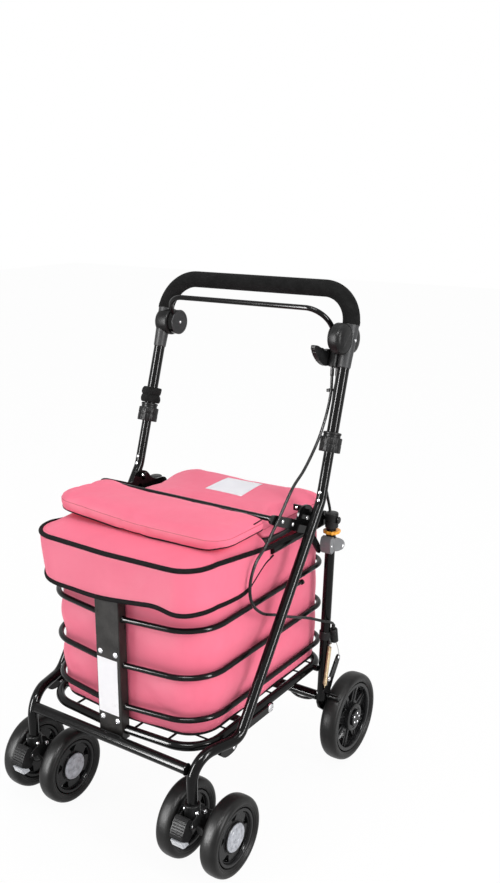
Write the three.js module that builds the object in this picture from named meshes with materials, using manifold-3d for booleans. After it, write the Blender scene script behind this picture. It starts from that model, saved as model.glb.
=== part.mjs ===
// A four-wheeled shopping rollator: a bent-tube frame with a wire basket and a soft bag,
// a padded flap and seat on top, twin-wheel front casters, a rear leg frame that folds
// under the basket, and a height-adjustable handle with a brake bar.
// Millimetres, +Z up, +X to the right, the front of the rollator towards -Y.
// Distances along Y are measured from a line just behind the stems of the front casters, and
// heights from the floor. The finished model is moved along Y so that its origin is in the
// middle of its footprint.

import * as THREE from "three";
import { mergeVertices } from "three/addons/utils/BufferGeometryUtils.js";
import Module from "manifold-3d";

const wasm = await Module();
wasm.setup();

// Fits shared by all pieces
const clearance = 0.3;
const overrun = 3;
const weldDistance = 0.0001;
const flatness = 0.05;

// Side frame: a bent tube each side, from inside the handle down to the front caster
const frameHalfWidth = 216;
const frontInset = 30;
const frontHalfWidth = frameHalfWidth - frontInset;
const tubeRadius = 9.5;
const kneeY = 347;
const kneeZ = 575;
const uprightLean = THREE.MathUtils.degToRad(17.6);
const footInset = 4;
const footHalfWidth = frameHalfWidth - footInset;
const footY = 90;
const footZ = 219;
const stemY = -10;
const railFrontZ = 222;
const stubBottomZ = 141;
const kneeBend = 60;
const footBend = 32;
const frontBend = 44;

// Handle: a U of wider tube that slides on the uprights
const handleTubeRadius = 11;
const handleStart = 97;
const handleLength = 295;
const handleEnd = handleStart + handleLength;
const handleBend = 66;
const boreEndDrop = 85;
const boreEndAlong = handleEnd - boreEndDrop;
const insertLength = 125;
const gripRadius = 16;
const gripDrop = 55;
const gripEnds = handleEnd - gripDrop;

// Brake bar pivots, measured along the upright from the knee
const pivotDrop = 89;
const pivotAlong = handleEnd - pivotDrop;
const pivotBehind = 8;

// Basket: rods that bow forward in the middle of the front, with wide front corners
const basketInset = 38;
const basketHalfWidth = frameHalfWidth - basketInset;
const basketFrontY = 7;
const basketBow = 25;
const basketBackY = 446;
const basketFrontCorner = 75;
const basketBackCorner = 45;
const ringRadius = 5;
const ringUpperZ = 423;
const ringMiddleZ = 337;
const ringLowerZ = 258;
const loopRadius = 8;
const loopZ = 213;
const loopFrontY = 10;
const loopBow = 12;
const loopBackY = 436;
const loopFrontCorner = 65;

// Front channel
const channelHalfWidth = 26.7;
const channelDepth = 20;
const channelWall = 3;
const channelTopZ = 505;

// Seat and flap
const seatPivotY = 228;
const hingeBarY = 216;
const hingeBarRadius = 5;
const bracketInset = 18.8;
const bracketX = frameHalfWidth - bracketInset;
const bracketThickness = 4;
const seatFrameInset = 31;
const seatFrameHalfWidth = frameHalfWidth - seatFrameInset;
const seatFrameRadius = 7;
const seatFrameZ = 511;
const hingeBarRise = 65;
const hingeBarZ = seatFrameZ + hingeBarRise;
const seatBackY = 450;

// Rear leg frame
const rearPivotInset = 3;
const rearPivotHalfWidth = frameHalfWidth - rearPivotInset;
const rearPivotY = 396;
const rearPivotZ = 527;
const rearFootInset = 13;
const rearFootHalfWidth = frameHalfWidth - rearFootInset;
const rearFootY = 389;
const rearFootZ = 155;

// Wheels
const rearWheelOffset = 10;
const rearWheelX = frameHalfWidth + rearWheelOffset;
const rearAxleY = 457;
const axleRadius = 5;
const rearWheelRadius = 88.7;
const rearWheelHalf = 17.5;
const frontWheelRadius = 70.5;
const frontWheelHalf = 16.5;
const frontWheelSpread = 46.5;
const casterTrail = 43;

// Sides of the round pieces
const tubeSides = 10;
const rodSides = 8;
const wheelSides = 20;
const casterWheelSides = 16;
const roundSides = 12;

const gloss = { color: 0x0b0b0c, roughness: 0.18, metalness: 0.35 };
const matte = { color: 0x151516, roughness: 0.72, metalness: 0 };
const finishes = {
  blackPaint: gloss,
  foam: { color: 0x121212, roughness: 0.95, metalness: 0 },
  blackPlastic: matte,
  greyPlastic: { color: 0x3b3d40, roughness: 0.55, metalness: 0 },
  tyre: { color: 0x1a1a1b, roughness: 0.8, metalness: 0 },
  rim: { color: 0x18181a, roughness: 0.5, metalness: 0 },
  vinyl: { color: 0xf2647f, roughness: 0.45, metalness: 0 },
  orange: { color: 0xf08010, roughness: 0.5, metalness: 0 },
  clip: { color: 0x5a5c5f, roughness: 0.5, metalness: 0 },
  zinc: { color: 0xa58c68, roughness: 0.4, metalness: 0.8 },
  board: { color: 0x101010, roughness: 0.8, metalness: 0 },
  cable: { color: 0x141414, roughness: 0.5, metalness: 0 },
  webbing: { color: 0x0a0a0a, roughness: 0.95, metalness: 0 },
};

const at = (x, y, z) => new THREE.Vector3(x, y, z);
const mirrored = (p, side) => at(p.x * side, p.y, p.z);

// Turns a closed geometry into a solid with its faces pointing out.
function solid(geometry) {
  const bare = new THREE.BufferGeometry();
  bare.setAttribute("position", geometry.getAttribute("position"));
  if (geometry.index) bare.setIndex(geometry.index);
  const welded = mergeVertices(bare, weldDistance);
  const corners = [...welded.index.array];
  const faces = [];
  for (let i = 0; i < corners.length; i += 3) {
    const [a, b, c] = corners.slice(i, i + 3);
    if (a !== b && b !== c && c !== a) faces.push([a, b, c]);
  }
  const build = (turned) =>
    new wasm.Manifold(
      new wasm.Mesh({
        numProp: 3,
        vertProperties: new Float32Array(welded.attributes.position.array),
        triVerts: new Uint32Array(faces.flatMap(([a, b, c]) => (turned ? [a, c, b] : [a, b, c]))),
      }),
    );
  const made = build(false);
  return made.volume() < 0 ? build(true) : made;
}

const join = (...solids) => solids.reduce((a, b) => a.add(b));
const cut = (body, ...tools) => tools.reduce((a, b) => a.subtract(b), body);

// The largest body, without the offcuts that a cut can leave.
const largest = (body) => body.decompose().sort((a, b) => b.volume() - a.volume())[0];

function geometryOf(body) {
  const mesh = body.simplify(flatness).getMesh();
  const geometry = new THREE.BufferGeometry();
  const places = new Float32Array(mesh.numVert * 3);
  for (let i = 0; i < mesh.numVert; i++) {
    places.set(mesh.vertProperties.subarray(i * mesh.numProp, i * mesh.numProp + 3), i * 3);
  }
  geometry.setAttribute("position", new THREE.BufferAttribute(places, 3));
  geometry.setIndex(new THREE.BufferAttribute(new Uint32Array(mesh.triVerts), 1));
  const flat = geometry.toNonIndexed();
  flat.computeVertexNormals();
  return flat;
}

const rollator = new THREE.Group();

function add(name, body, finish) {
  const mesh = new THREE.Mesh(geometryOf(body), new THREE.MeshStandardMaterial(finish));
  mesh.name = name;
  rollator.add(mesh);
}

// Adds a left and a right copy of a piece; make(side) gets -1 for left and 1 for right.
function addPair(name, make, finish) {
  for (const [side, word] of [[-1, "left"], [1, "right"]]) {
    add(`${name}_${word}`, make(side), finish);
  }
}

function polygon(radius, sides) {
  const corners = [];
  for (let i = 0; i < sides; i++) {
    const turn = (2 * Math.PI * i) / sides;
    corners.push(new THREE.Vector2(radius * Math.cos(turn), radius * Math.sin(turn)));
  }
  return corners;
}

// A path given by its stations, so that bends get many sections and straight runs few.
class StationPath extends THREE.Curve {
  constructor(stations) {
    super();
    this.stations = stations;
  }
  station(share) {
    return this.stations[Math.round(share * (this.stations.length - 1))];
  }
  getPoint(share) {
    return this.station(share).place.clone();
  }
  getPointAt(share) {
    return this.getPoint(share);
  }
  getTangentAt(share) {
    return this.station(share).heading.clone();
  }
}

// Straight runs between corners, with each inner corner rounded to its bend radius.
function bentPath(corners, bends, bendSteps) {
  const stations = [];
  const heading = (a, b) => b.clone().sub(a).normalize();
  stations.push({ place: corners[0], heading: heading(corners[0], corners[1]) });
  for (let i = 1; i < corners.length - 1; i++) {
    const before = heading(corners[i - 1], corners[i]);
    const after = heading(corners[i], corners[i + 1]);
    const turn = before.angleTo(after);
    const bend = bends[Math.min(i - 1, bends.length - 1)];
    const reach = bend * Math.tan(turn / 2);
    const start = corners[i].clone().addScaledVector(before, -reach);
    const inward = after.clone().addScaledVector(before, -after.dot(before)).normalize();
    for (let step = 0; step <= bendSteps; step++) {
      const angle = (turn * step) / bendSteps;
      const place = start.clone().addScaledVector(before, bend * Math.sin(angle));
      place.addScaledVector(inward, bend * (1 - Math.cos(angle)));
      const now = before.clone().multiplyScalar(Math.cos(angle));
      stations.push({ place, heading: now.addScaledVector(inward, Math.sin(angle)) });
    }
  }
  const last = corners.length - 1;
  stations.push({ place: corners[last], heading: heading(corners[last - 1], corners[last]) });
  return new StationPath(stations);
}

// A smooth path through chosen points, cut into equal steps.
function smoothPath(points, steps) {
  const curve = new THREE.CatmullRomCurve3(points, false, "centripetal");
  const stations = [];
  for (let i = 0; i <= steps; i++) {
    stations.push({ place: curve.getPointAt(i / steps), heading: curve.getTangentAt(i / steps) });
  }
  return new StationPath(stations);
}

function sweep(path, section) {
  const steps = path.stations.length - 1;
  return solid(new THREE.ExtrudeGeometry(new THREE.Shape(section), { steps, extrudePath: path }));
}

const tube = (path, radius, sides) => sweep(path, polygon(radius, sides));

function rod(from, to, radius, sides = rodSides, endRadius = radius) {
  const along = to.clone().sub(from);
  const shape = new THREE.CylinderGeometry(endRadius, radius, along.length(), sides);
  const up = at(0, 1, 0);
  shape.applyQuaternion(new THREE.Quaternion().setFromUnitVectors(up, along.clone().normalize()));
  const middle = from.clone().lerp(to, 0.5);
  shape.translate(middle.x, middle.y, middle.z);
  return solid(shape);
}

// A round hole's tool: its flat sides clear a round piece of the given radius.
const drill = (from, to, radius, sides = roundSides) =>
  rod(from, to, (radius + clearance) / Math.cos(Math.PI / sides), sides);

// A flat outline of [y, z] corners, from x = from to x = to.
function plate(outline, from, to) {
  const shape = new THREE.Shape(outline.map(([y, z]) => new THREE.Vector2(y, z)));
  const blank = new THREE.ExtrudeGeometry(shape, { depth: Math.abs(to - from), bevelEnabled: false });
  blank.applyMatrix4(new THREE.Matrix4().makeBasis(at(0, 1, 0), at(0, 0, 1), at(1, 0, 0)));
  blank.translate(Math.min(from, to), 0, 0);
  return solid(blank);
}

function box(low, high) {
  const size = high.clone().sub(low);
  const block = new THREE.BoxGeometry(Math.abs(size.x), Math.abs(size.y), Math.abs(size.z));
  const middle = low.clone().lerp(high, 0.5);
  block.translate(middle.x, middle.y, middle.z);
  return solid(block);
}

// A closed profile of [radius, distance along the axle] turned round an axle parallel to X.
function turned(profile, centre, sides) {
  const points = profile.map(([radius, along]) => new THREE.Vector2(radius, along));
  const shape = new THREE.LatheGeometry(points, sides);
  shape.rotateZ(-Math.PI / 2);
  shape.translate(centre.x, centre.y, centre.z);
  return solid(shape);
}

// Plan of a basket or a bag: a front that bows forward in its middle, straight sides and round
// corners. Gives points that go round it, each at the height that heightAt(y) tells, with
// more points on the sides where y passes one of sideYs.
const planSteps = 4;

function plan({ halfWidth, front, bow, back, frontCorner, backCorner }, heightAt, sideYs = []) {
  const corners = [
    at(0, front, 0),
    at(halfWidth, front + bow, 0),
    at(halfWidth, back, 0),
    at(-halfWidth, back, 0),
    at(-halfWidth, front + bow, 0),
    at(0, front, 0),
  ];
  const path = bentPath(corners, [frontCorner, backCorner, backCorner, frontCorner], planSteps);
  const points = [];
  path.stations.slice(1).forEach(({ place }, i) => {
    const before = path.stations[i].place;
    const rising = place.y > before.y;
    const crossed = sideYs.filter((y) => (y - before.y) * (y - place.y) < 0);
    for (const y of rising ? crossed : [...crossed].reverse()) {
      const share = (y - before.y) / (place.y - before.y);
      points.push(before.clone().lerp(place, share));
    }
    points.push(place);
  });
  return points.map(({ x, y }) => at(x, y, heightAt(y)));
}

// The same plan drawn in by an inset; its corners keep a quarter of their radius at least.
const leastCornerShare = 0.25;
const drawnIn = (shape, inset) => ({
  halfWidth: shape.halfWidth - inset,
  front: shape.front + inset,
  bow: shape.bow,
  back: shape.back - inset,
  frontCorner: Math.max(shape.frontCorner - inset, shape.frontCorner * leastCornerShare),
  backCorner: Math.max(shape.backCorner - inset, shape.backCorner * leastCornerShare),
});

// Skins the rings one after another and closes the first and the last at their middles.
function loft(rings) {
  const count = rings[0].length;
  const places = rings.flat();
  const faces = [];
  for (let i = 0; i < rings.length - 1; i++) {
    for (let j = 0; j < count; j++) {
      const a = i * count + j;
      const b = i * count + ((j + 1) % count);
      faces.push(a, b, b + count, a, b + count, a + count);
    }
  }
  const middle = (ring) => ring.reduce((sum, p) => sum.add(p), at(0, 0, 0)).divideScalar(count);
  places.push(middle(rings[0]), middle(rings[rings.length - 1]));
  const first = rings.length * count;
  const top = first - count;
  for (let j = 0; j < count; j++) {
    const next = (j + 1) % count;
    faces.push(first, next, j, first + 1, top + j, top + next);
  }
  const skin = new THREE.BufferGeometry().setFromPoints(places);
  skin.setIndex(faces);
  return solid(skin);
}

// Side frames, each with a peg, two rivet heads on its front and a lug under its foot
const uprightAxis = at(0, Math.sin(uprightLean), Math.cos(uprightLean));
const uprightBack = at(0, Math.cos(uprightLean), -Math.sin(uprightLean));
const knee = at(frameHalfWidth, kneeY, kneeZ);
const onUpright = (along, behind = 0, x = frameHalfWidth) =>
  at(x, kneeY, kneeZ).addScaledVector(uprightAxis, along).addScaledVector(uprightBack, behind);
const tubeBendSteps = 5;
const gripBendSteps = 6;
const rivetRadius = 3.6;
const rivetHead = 1.6;
const frameRivetsAlong = [2, 17];
const pegInset = 2;
const pegX = frameHalfWidth - pegInset;
const pegFrontY = 246;
const pegBackY = 271;
const pegZ = 438;
const pegRadius = 2.6;
const pegHeadRadius = 4.6;
const pegHeadLength = 4;
const footLugOutline = [
  [40, 216], [46, 204], [58, 197], [78, 197], [90, 202], [94, 212], [90, 218],
];
const footLugInset = 12;
const footLugWidth = 8;
const footLugInner = footHalfWidth - footLugInset;
const footLugOuter = footLugInner + footLugWidth;
const footLugRivetY = 80;
const footLugRivetZ = 205;

function sideTube(side) {
  const corners = [
    onUpright(handleStart + insertLength),
    knee,
    at(footHalfWidth, footY, footZ),
    at(frontHalfWidth, stemY, railFrontZ),
    at(frontHalfWidth, stemY, stubBottomZ),
  ].map((p) => mirrored(p, side));
  const bends = [kneeBend, footBend, frontBend];
  let body = tube(bentPath(corners, bends, tubeBendSteps), tubeRadius, tubeSides);
  for (const along of frameRivetsAlong) {
    const seat = onUpright(along, rivetRadius - tubeRadius, side * frameHalfWidth);
    const face = onUpright(along, -tubeRadius - rivetHead, side * frameHalfWidth);
    body = join(body, rod(seat, face, rivetRadius, rodSides, rivetRadius / 2));
  }
  const lugMiddle = side * (footLugInner + footLugOuter) / 2;
  const lugSeat = at(lugMiddle, footLugRivetY, footLugRivetZ);
  const lugFace = at(side * (footLugOuter + rivetHead), footLugRivetY, footLugRivetZ);
  const lugRivet = rod(lugSeat, lugFace, rivetRadius, rodSides, rivetRadius / 2);
  body = join(body, plate(footLugOutline, side * footLugInner, side * footLugOuter), lugRivet);
  const x = side * pegX;
  const pegHeadY = pegBackY - pegHeadLength;
  const peg = rod(at(x, pegFrontY, pegZ), at(x, pegBackY, pegZ), pegRadius);
  return join(body, peg, rod(at(x, pegHeadY, pegZ), at(x, pegBackY, pegZ), pegHeadRadius));
}
addPair("side_tube", sideTube, finishes.blackPaint);

const crossTubeDrop = 22;
const crossTubeZ = railFrontZ - crossTubeDrop;
const frontCrossReach = frontHalfWidth - tubeRadius - clearance;
const frontCrossTube = rod(
  at(-frontCrossReach, stemY, crossTubeZ),
  at(frontCrossReach, stemY, crossTubeZ),
  tubeRadius,
  tubeSides,
);
add("front_cross_tube", frontCrossTube, finishes.blackPaint);

// Front channel: stands behind the front cross tube and holds the basket rods
const channelFrontY = stemY + tubeRadius + clearance;
const channelFoot = 6;
const channelBottomZ = crossTubeZ - channelFoot;
const rivetX = 17;
const upperRivetZ = 354;
const lowerRivetZ = 228;

function frontChannel() {
  const across = at(channelHalfWidth, channelFrontY + channelDepth, channelTopZ);
  const blank = box(at(-channelHalfWidth, channelFrontY, channelBottomZ), across);
  const inner = channelHalfWidth - channelWall;
  const low = at(-inner, channelFrontY + channelWall, channelBottomZ - overrun);
  const hollow = box(low, at(inner, channelFrontY + channelDepth + overrun, channelTopZ + overrun));
  let channel = cut(blank, hollow);
  for (const z of [upperRivetZ, lowerRivetZ]) {
    for (const side of [-1, 1]) {
      const seat = at(side * rivetX, channelFrontY + channelWall / 2, z);
      const face = at(side * rivetX, channelFrontY - rivetHead, z);
      channel = join(channel, rod(seat, face, rivetRadius, rodSides, rivetRadius / 2));
    }
  }
  return channel;
}
add("front_channel", frontChannel(), finishes.blackPaint);

// Basket rods: each bent round the basket from one side of the channel to the other
const rodBendSteps = 4;
const rodEndGap = 1.2;

function basketLoop({ halfWidth, front, bow, back, frontCorner, backCorner }, z, radius) {
  const end = channelHalfWidth + rodEndGap;
  const frontAt = (x) => front + (bow * x) / halfWidth;
  const half = [at(end, frontAt(end), z), at(halfWidth, front + bow, z), at(halfWidth, back, z)];
  const corners = [...half, ...[...half].reverse().map((p) => mirrored(p, -1))];
  const bends = [frontCorner, backCorner, backCorner, frontCorner];
  return tube(bentPath(corners, bends, rodBendSteps), radius, rodSides);
}

const basketShape = {
  halfWidth: basketHalfWidth,
  front: basketFrontY,
  bow: basketBow,
  back: basketBackY,
  frontCorner: basketFrontCorner,
  backCorner: basketBackCorner,
};
const rings = [["ring_upper", ringUpperZ], ["ring_middle", ringMiddleZ], ["ring_lower", ringLowerZ]];
rings.forEach(([name, z]) => add(name, basketLoop(basketShape, z, ringRadius), finishes.blackPaint));

// Basket floor: a thicker loop with wires and flat bars laid across it, a rail under each
// side, and a stub each side that the rear legs rest against
const wireRadius = 2.5;
const wireSides = 6;
const floorWires = 4;
const floorBars = 2;
const barHalfDepth = 9;
const barThickness = 3;
const railFrontY = 83;
const railBackY = 231;
const railHeight = 14;
const railThickness = 9;
const stubY = 390;
const stubRadius = 6;
const stubGap = 0.6;
const floorShape = {
  halfWidth: basketHalfWidth,
  front: loopFrontY,
  bow: loopBow,
  back: loopBackY,
  frontCorner: loopFrontCorner,
  backCorner: basketBackCorner,
};
const legLean = (rearPivotHalfWidth - rearFootHalfWidth) / (rearPivotZ - rearFootZ);
const legSetBack = (rearPivotY - rearFootY) / (rearPivotZ - rearFootZ);
const onLeg = (z, side = 1) =>
  at(side * (rearFootHalfWidth + (z - rearFootZ) * legLean), rearFootY + (z - rearFootZ) * legSetBack, z);

function basketFloor() {
  let floor = basketLoop(floorShape, loopZ, loopRadius);
  const channelBackY = channelFrontY + channelDepth + clearance;
  for (let i = 1; i <= floorWires; i++) {
    const x = THREE.MathUtils.lerp(-basketHalfWidth, basketHalfWidth, i / (floorWires + 1));
    const clearOfChannel = Math.abs(x) > channelHalfWidth + wireRadius + clearance;
    const front = clearOfChannel ? loopFrontY + (loopBow * Math.abs(x)) / basketHalfWidth : channelBackY;
    floor = join(floor, rod(at(x, front, loopZ), at(x, loopBackY, loopZ), wireRadius, wireSides));
  }
  for (let i = 1; i <= floorBars; i++) {
    const y = THREE.MathUtils.lerp(loopFrontY, loopBackY, i / (floorBars + 1));
    const middleZ = loopZ - wireRadius;
    const low = at(-basketHalfWidth, y - barHalfDepth, middleZ - barThickness / 2);
    const high = at(basketHalfWidth, y + barHalfDepth, middleZ + barThickness / 2);
    floor = join(floor, box(low, high));
  }
  for (const side of [-1, 1]) {
    const inner = side * (basketHalfWidth + loopRadius / 2);
    const outer = inner + side * railThickness;
    const low = at(Math.min(inner, outer), railFrontY, loopZ - railHeight);
    const high = at(Math.max(inner, outer), railBackY, loopZ);
    const legFace = onLeg(loopZ, side).x - side * (tubeRadius + stubGap);
    const stub = rod(at(side * basketHalfWidth, stubY, loopZ), at(legFace, stubY, loopZ), stubRadius);
    floor = join(floor, box(low, high), stub);
  }
  return floor;
}
add("basket_floor", basketFloor(), finishes.blackPaint);

// Seat frame: a U of tube under the seat board
const bracketInner = bracketX - bracketThickness;
const seatFrameFrontY = 230;
const seatFrameBackY = 436;
const seatFrameBend = 30;

function seatFrame() {
  const half = [
    at(seatFrameHalfWidth, seatFrameFrontY, seatFrameZ),
    at(seatFrameHalfWidth, seatFrameBackY, seatFrameZ),
  ];
  const corners = [...half, ...[...half].reverse().map((p) => mirrored(p, -1))];
  return tube(bentPath(corners, [seatFrameBend], rodBendSteps), seatFrameRadius, rodSides);
}
add("seat_frame", seatFrame(), finishes.blackPaint);

// Rim hoop: the bag hangs on it; it drops towards its ends, which meet the seat frame
const hoopRadius = 4;
const hoopOverhang = 2;
const hoopHalfWidth = basketHalfWidth + hoopOverhang;
const hoopFrontY = 3.2;
const hoopBow = 8;
const hoopCorner = 50;
const hoopFrontRise = 25;
const hoopFrontZ = seatFrameZ + hoopFrontRise;
const hoopDropStart = 62;
const hoopDropBend = 30;
const hoopSideZ = seatFrameZ + seatFrameRadius - hoopRadius;
const hoopEndGap = 1;
const hoopEndY = seatFrameFrontY - hoopEndGap;

// Height of the hoop's axis at a distance from the front.
function hoopHeight(y) {
  const share = THREE.MathUtils.clamp((y - hoopDropStart) / (hoopEndY - hoopDropStart), 0, 1);
  return THREE.MathUtils.lerp(hoopFrontZ, hoopSideZ, share);
}

function rimHoop() {
  const half = [
    at(hoopHalfWidth, hoopEndY, hoopSideZ),
    at(hoopHalfWidth, hoopDropStart, hoopFrontZ),
    at(hoopHalfWidth, hoopFrontY + hoopBow, hoopFrontZ),
    at(0, hoopFrontY, hoopFrontZ),
  ];
  const other = half.slice(0, -1).reverse().map((p) => mirrored(p, -1));
  const bends = [hoopDropBend, hoopCorner, hoopCorner, hoopCorner, hoopDropBend];
  return tube(bentPath([...half, ...other], bends, rodBendSteps), hoopRadius, rodSides);
}
add("rim_hoop", rimHoop(), finishes.blackPaint);

// Seat brackets: a plate each side with an arm forward to the hinge bar, a lobe back to the
// rear leg pivot, a strap inward beside the seat, and spacers out to the side tube.
// Corners are [y, z], round the plate.
const bracketOutline = [
  [396, 514], [406, 519], [409, 528], [405, 537], [396, 541], [372, 542], [358, 549],
  [350, 560], [342, 567], [330, 571], [312, 571], [304, 564], [300, 550], [272, 562],
  [244, 573], [222, 582], [210, 582], [206, 575], [212, 566], [250, 550], [292, 531],
  [322, 517], [345, 511], [372, 512],
];
const bracketRivets = [[248, 562], [282, 547]];
const bracketHook = [
  [336, 514], [352, 514], [384, 474], [388, 464], [381, 459], [374, 463],
];
const spacerRadius = 6;
const spacersBelowKnee = [24, 44];
const strapLength = 17.7;
const strapFrontY = 318;
const strapThickness = 4;
const strapLowZ = 560;
const strapHighZ = 571;
const strapRivetInset = 7;
const pivotPinRadius = 4;
const pinHeadRadius = 7;
const pinHead = 2.5;
const capRadius = 13.5;

function seatBracket(side) {
  let bracket = plate(bracketOutline, side * bracketX, side * bracketInner);
  bracket = join(bracket, plate(bracketHook, side * bracketX, side * bracketInner));
  const skin = side * (bracketX - bracketThickness / 2);
  for (const [y, z] of bracketRivets) {
    const face = side * (bracketX + rivetHead);
    bracket = join(bracket, rod(at(skin, y, z), at(face, y, z), rivetRadius, rodSides, rivetRadius / 2));
  }
  const foot = at(footHalfWidth, footY, footZ);
  for (const below of spacersBelowKnee) {
    const { x, y, z } = knee.clone().lerp(foot, below / knee.distanceTo(foot));
    const tubeFace = side * (x - tubeRadius - clearance);
    bracket = join(bracket, rod(at(skin, y, z), at(tubeFace, y, z), spacerRadius));
  }
  const strapEnd = bracketInner - strapLength;
  const strapBackY = strapFrontY + strapThickness;
  const strap = box(
    at(Math.min(side * strapEnd, skin), strapFrontY, strapLowZ),
    at(Math.max(side * strapEnd, skin), strapBackY, strapHighZ),
  );
  const strapRivetX = side * (strapEnd + strapRivetInset);
  const strapRivetZ = (strapLowZ + strapHighZ) / 2;
  const strapRivet = rod(
    at(strapRivetX, strapBackY - strapThickness / 2, strapRivetZ),
    at(strapRivetX, strapFrontY - rivetHead, strapRivetZ),
    rivetRadius,
    rodSides,
    rivetRadius / 2,
  );
  bracket = join(bracket, strap, strapRivet);
  const pinEnd = side * (rearPivotHalfWidth + capRadius + clearance);
  const headFace = pinEnd + side * pinHead;
  const pin = rod(at(skin, rearPivotY, rearPivotZ), at(headFace, rearPivotY, rearPivotZ), pivotPinRadius);
  const head = rod(at(pinEnd, rearPivotY, rearPivotZ), at(headFace, rearPivotY, rearPivotZ), pinHeadRadius);
  return join(bracket, pin, head);
}
addPair("seat_bracket", seatBracket, finishes.blackPaint);

const hingeBarEnd = bracketInner - clearance;
const hingeBar = rod(
  at(-hingeBarEnd, hingeBarY, hingeBarZ),
  at(hingeBarEnd, hingeBarY, hingeBarZ),
  hingeBarRadius,
  tubeSides,
);
add("hinge_bar", hingeBar, finishes.blackPaint);

// Bag: a soft box inside the rods, turned out over the rim hoop into a skirt that hangs
// outside the rods, with a sloping front panel and an open mouth behind it
const bagWall = 2.5;
const bagGap = 1.5;
const bagFloorZ = loopZ + loopRadius + clearance;
const bagShoulderRise = 5;
const bagShoulderZ = seatFrameZ + bagShoulderRise;
const bagBottomCorner = 23;
const bagBottomStep = bagBottomCorner / 4;
const skirtDrop = 79;
const skirtSideDrop = 14;
const skirtEndY = 240;
const skirtStartY = 132;
const hoopGap = 1;
const bagFrontRound = 68;
const yokeFrontY = 8;
const yokeBackY = 100;
const yokeRise = 11;
const bagSideEndY = 205;
const bagSideYs = [skirtStartY, 168, 204, 222];
const rearRimY = 224;
const rearRimDrop = 7.5;
const rearRimZ = seatFrameZ - rearRimDrop;
const sideCutDrop = 41;
const sideCutZ = seatFrameZ - sideCutDrop;
const bagShape = {
  halfWidth: basketHalfWidth - ringRadius - bagGap,
  front: channelFrontY + channelDepth + bagGap,
  bow: basketFrontY + basketBow + ringRadius + bagGap - channelFrontY - channelDepth,
  back: basketBackY - ringRadius - bagGap,
  frontCorner: bagFrontRound,
  backCorner: basketBackCorner - ringRadius,
};
const hoopShape = {
  halfWidth: hoopHalfWidth,
  front: hoopFrontY,
  bow: hoopBow,
  back: basketBackY,
  frontCorner: hoopCorner,
  backCorner: basketBackCorner,
};

// How far the skirt hangs below the hoop at a distance from the front.
function skirtFall(y) {
  const share = THREE.MathUtils.clamp((y - skirtStartY) / (skirtEndY - skirtStartY), 0, 1);
  return THREE.MathUtils.lerp(skirtDrop, skirtSideDrop, share);
}

// The spaces that the seat frame takes from the rear of the bag.
function rearRimCuts() {
  const wide = hoopHalfWidth + tubeRadius * 2;
  const deep = basketBackY + tubeRadius * 2;
  const high = hoopFrontZ;
  const beside = bagShape.halfWidth + clearance;
  return [
    box(at(-wide, rearRimY, rearRimZ), at(wide, deep, high)),
    box(at(-wide, rearRimY, sideCutZ), at(-beside, deep, high)),
    box(at(beside, rearRimY, sideCutZ), at(wide, deep, high)),
    box(at(-wide, bagShape.back + clearance, sideCutZ), at(wide, deep, high)),
  ];
}

function bagBody() {
  const level = (z) => () => z;
  const inside = (inset, z) => plan(drawnIn(bagShape, inset), level(z), bagSideYs);
  const atHoop = (out, heightAt) => plan(drawnIn(hoopShape, -out), heightAt, bagSideYs);
  const near = hoopRadius + hoopGap;
  const far = near + bagWall;
  const over = (rise) => (y) => hoopHeight(y) + rise;
  const hem = (y) => hoopHeight(y) - skirtFall(y);
  const wallFootZ = bagFloorZ + bagBottomCorner;
  return loft([
    inside(bagBottomCorner, bagFloorZ),
    inside(bagBottomStep, bagFloorZ + bagBottomStep),
    inside(0, wallFootZ),
    inside(0, bagShoulderZ - far * 2),
    atHoop(-near, over(-near)),
    atHoop(-near, over(near)),
    atHoop(near, over(near)),
    atHoop(near, hem),
    atHoop(far, hem),
    atHoop(far, over(near)),
    atHoop(near, over(far)),
    atHoop(-near, over(far)),
    atHoop(-far, over(near)),
    atHoop(-far, over(-near)),
    inside(bagWall, bagShoulderZ - far * 2),
    inside(bagWall, wallFootZ),
    inside(bagBottomStep + bagWall, bagFloorZ + bagBottomStep + bagWall),
    inside(bagBottomCorner + bagWall, bagFloorZ + bagWall),
  ]);
}

// The sloping front panel, from the rim up to the front edge of the flap.
function bagYoke() {
  const topZ = hoopFrontZ + hoopRadius + hoopGap + bagWall;
  const slope = [
    [yokeFrontY, topZ - bagWall],
    [yokeBackY, topZ + yokeRise - bagWall],
    [yokeBackY, topZ + yokeRise],
    [yokeFrontY, topZ],
  ];
  const slab = plate(slope, -hoopHalfWidth, hoopHalfWidth);
  const rim = drawnIn(hoopShape, 0);
  const lowZ = hoopFrontZ - overrun;
  const highZ = topZ + yokeRise + overrun;
  return slab.intersect(loft([plan(rim, () => lowZ), plan(rim, () => highZ)]));
}

// Side walls between the dropping rim and the flap.
function bagSides() {
  const topZ = hoopFrontZ + hoopRadius + hoopGap + bagWall;
  const make = (side) => {
    const outer = side * (hoopHalfWidth + bagWall / 2);
    const inner = outer - side * bagWall;
    const low = (y) => hoopHeight(y) + hoopRadius + hoopGap + bagWall / 2;
    const wall = [
      [hoopCorner, low(hoopCorner)],
      [hoopDropStart, low(hoopDropStart)],
      [bagSideEndY, low(bagSideEndY)],
      [bagSideEndY, topZ + yokeRise],
      [yokeBackY, topZ + yokeRise],
    ];
    return plate(wall, Math.min(inner, outer), Math.max(inner, outer));
  };
  return join(make(-1), make(1));
}
add("bag", join(largest(cut(bagBody(), ...rearRimCuts())), bagYoke(), bagSides()), finishes.vinyl);

// Padded panels: a flat underside, drawn-in sides and a crowned top
const crownRings = 5;
const crownReachShare = 0.85;
const rollShare = 0.333;

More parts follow.
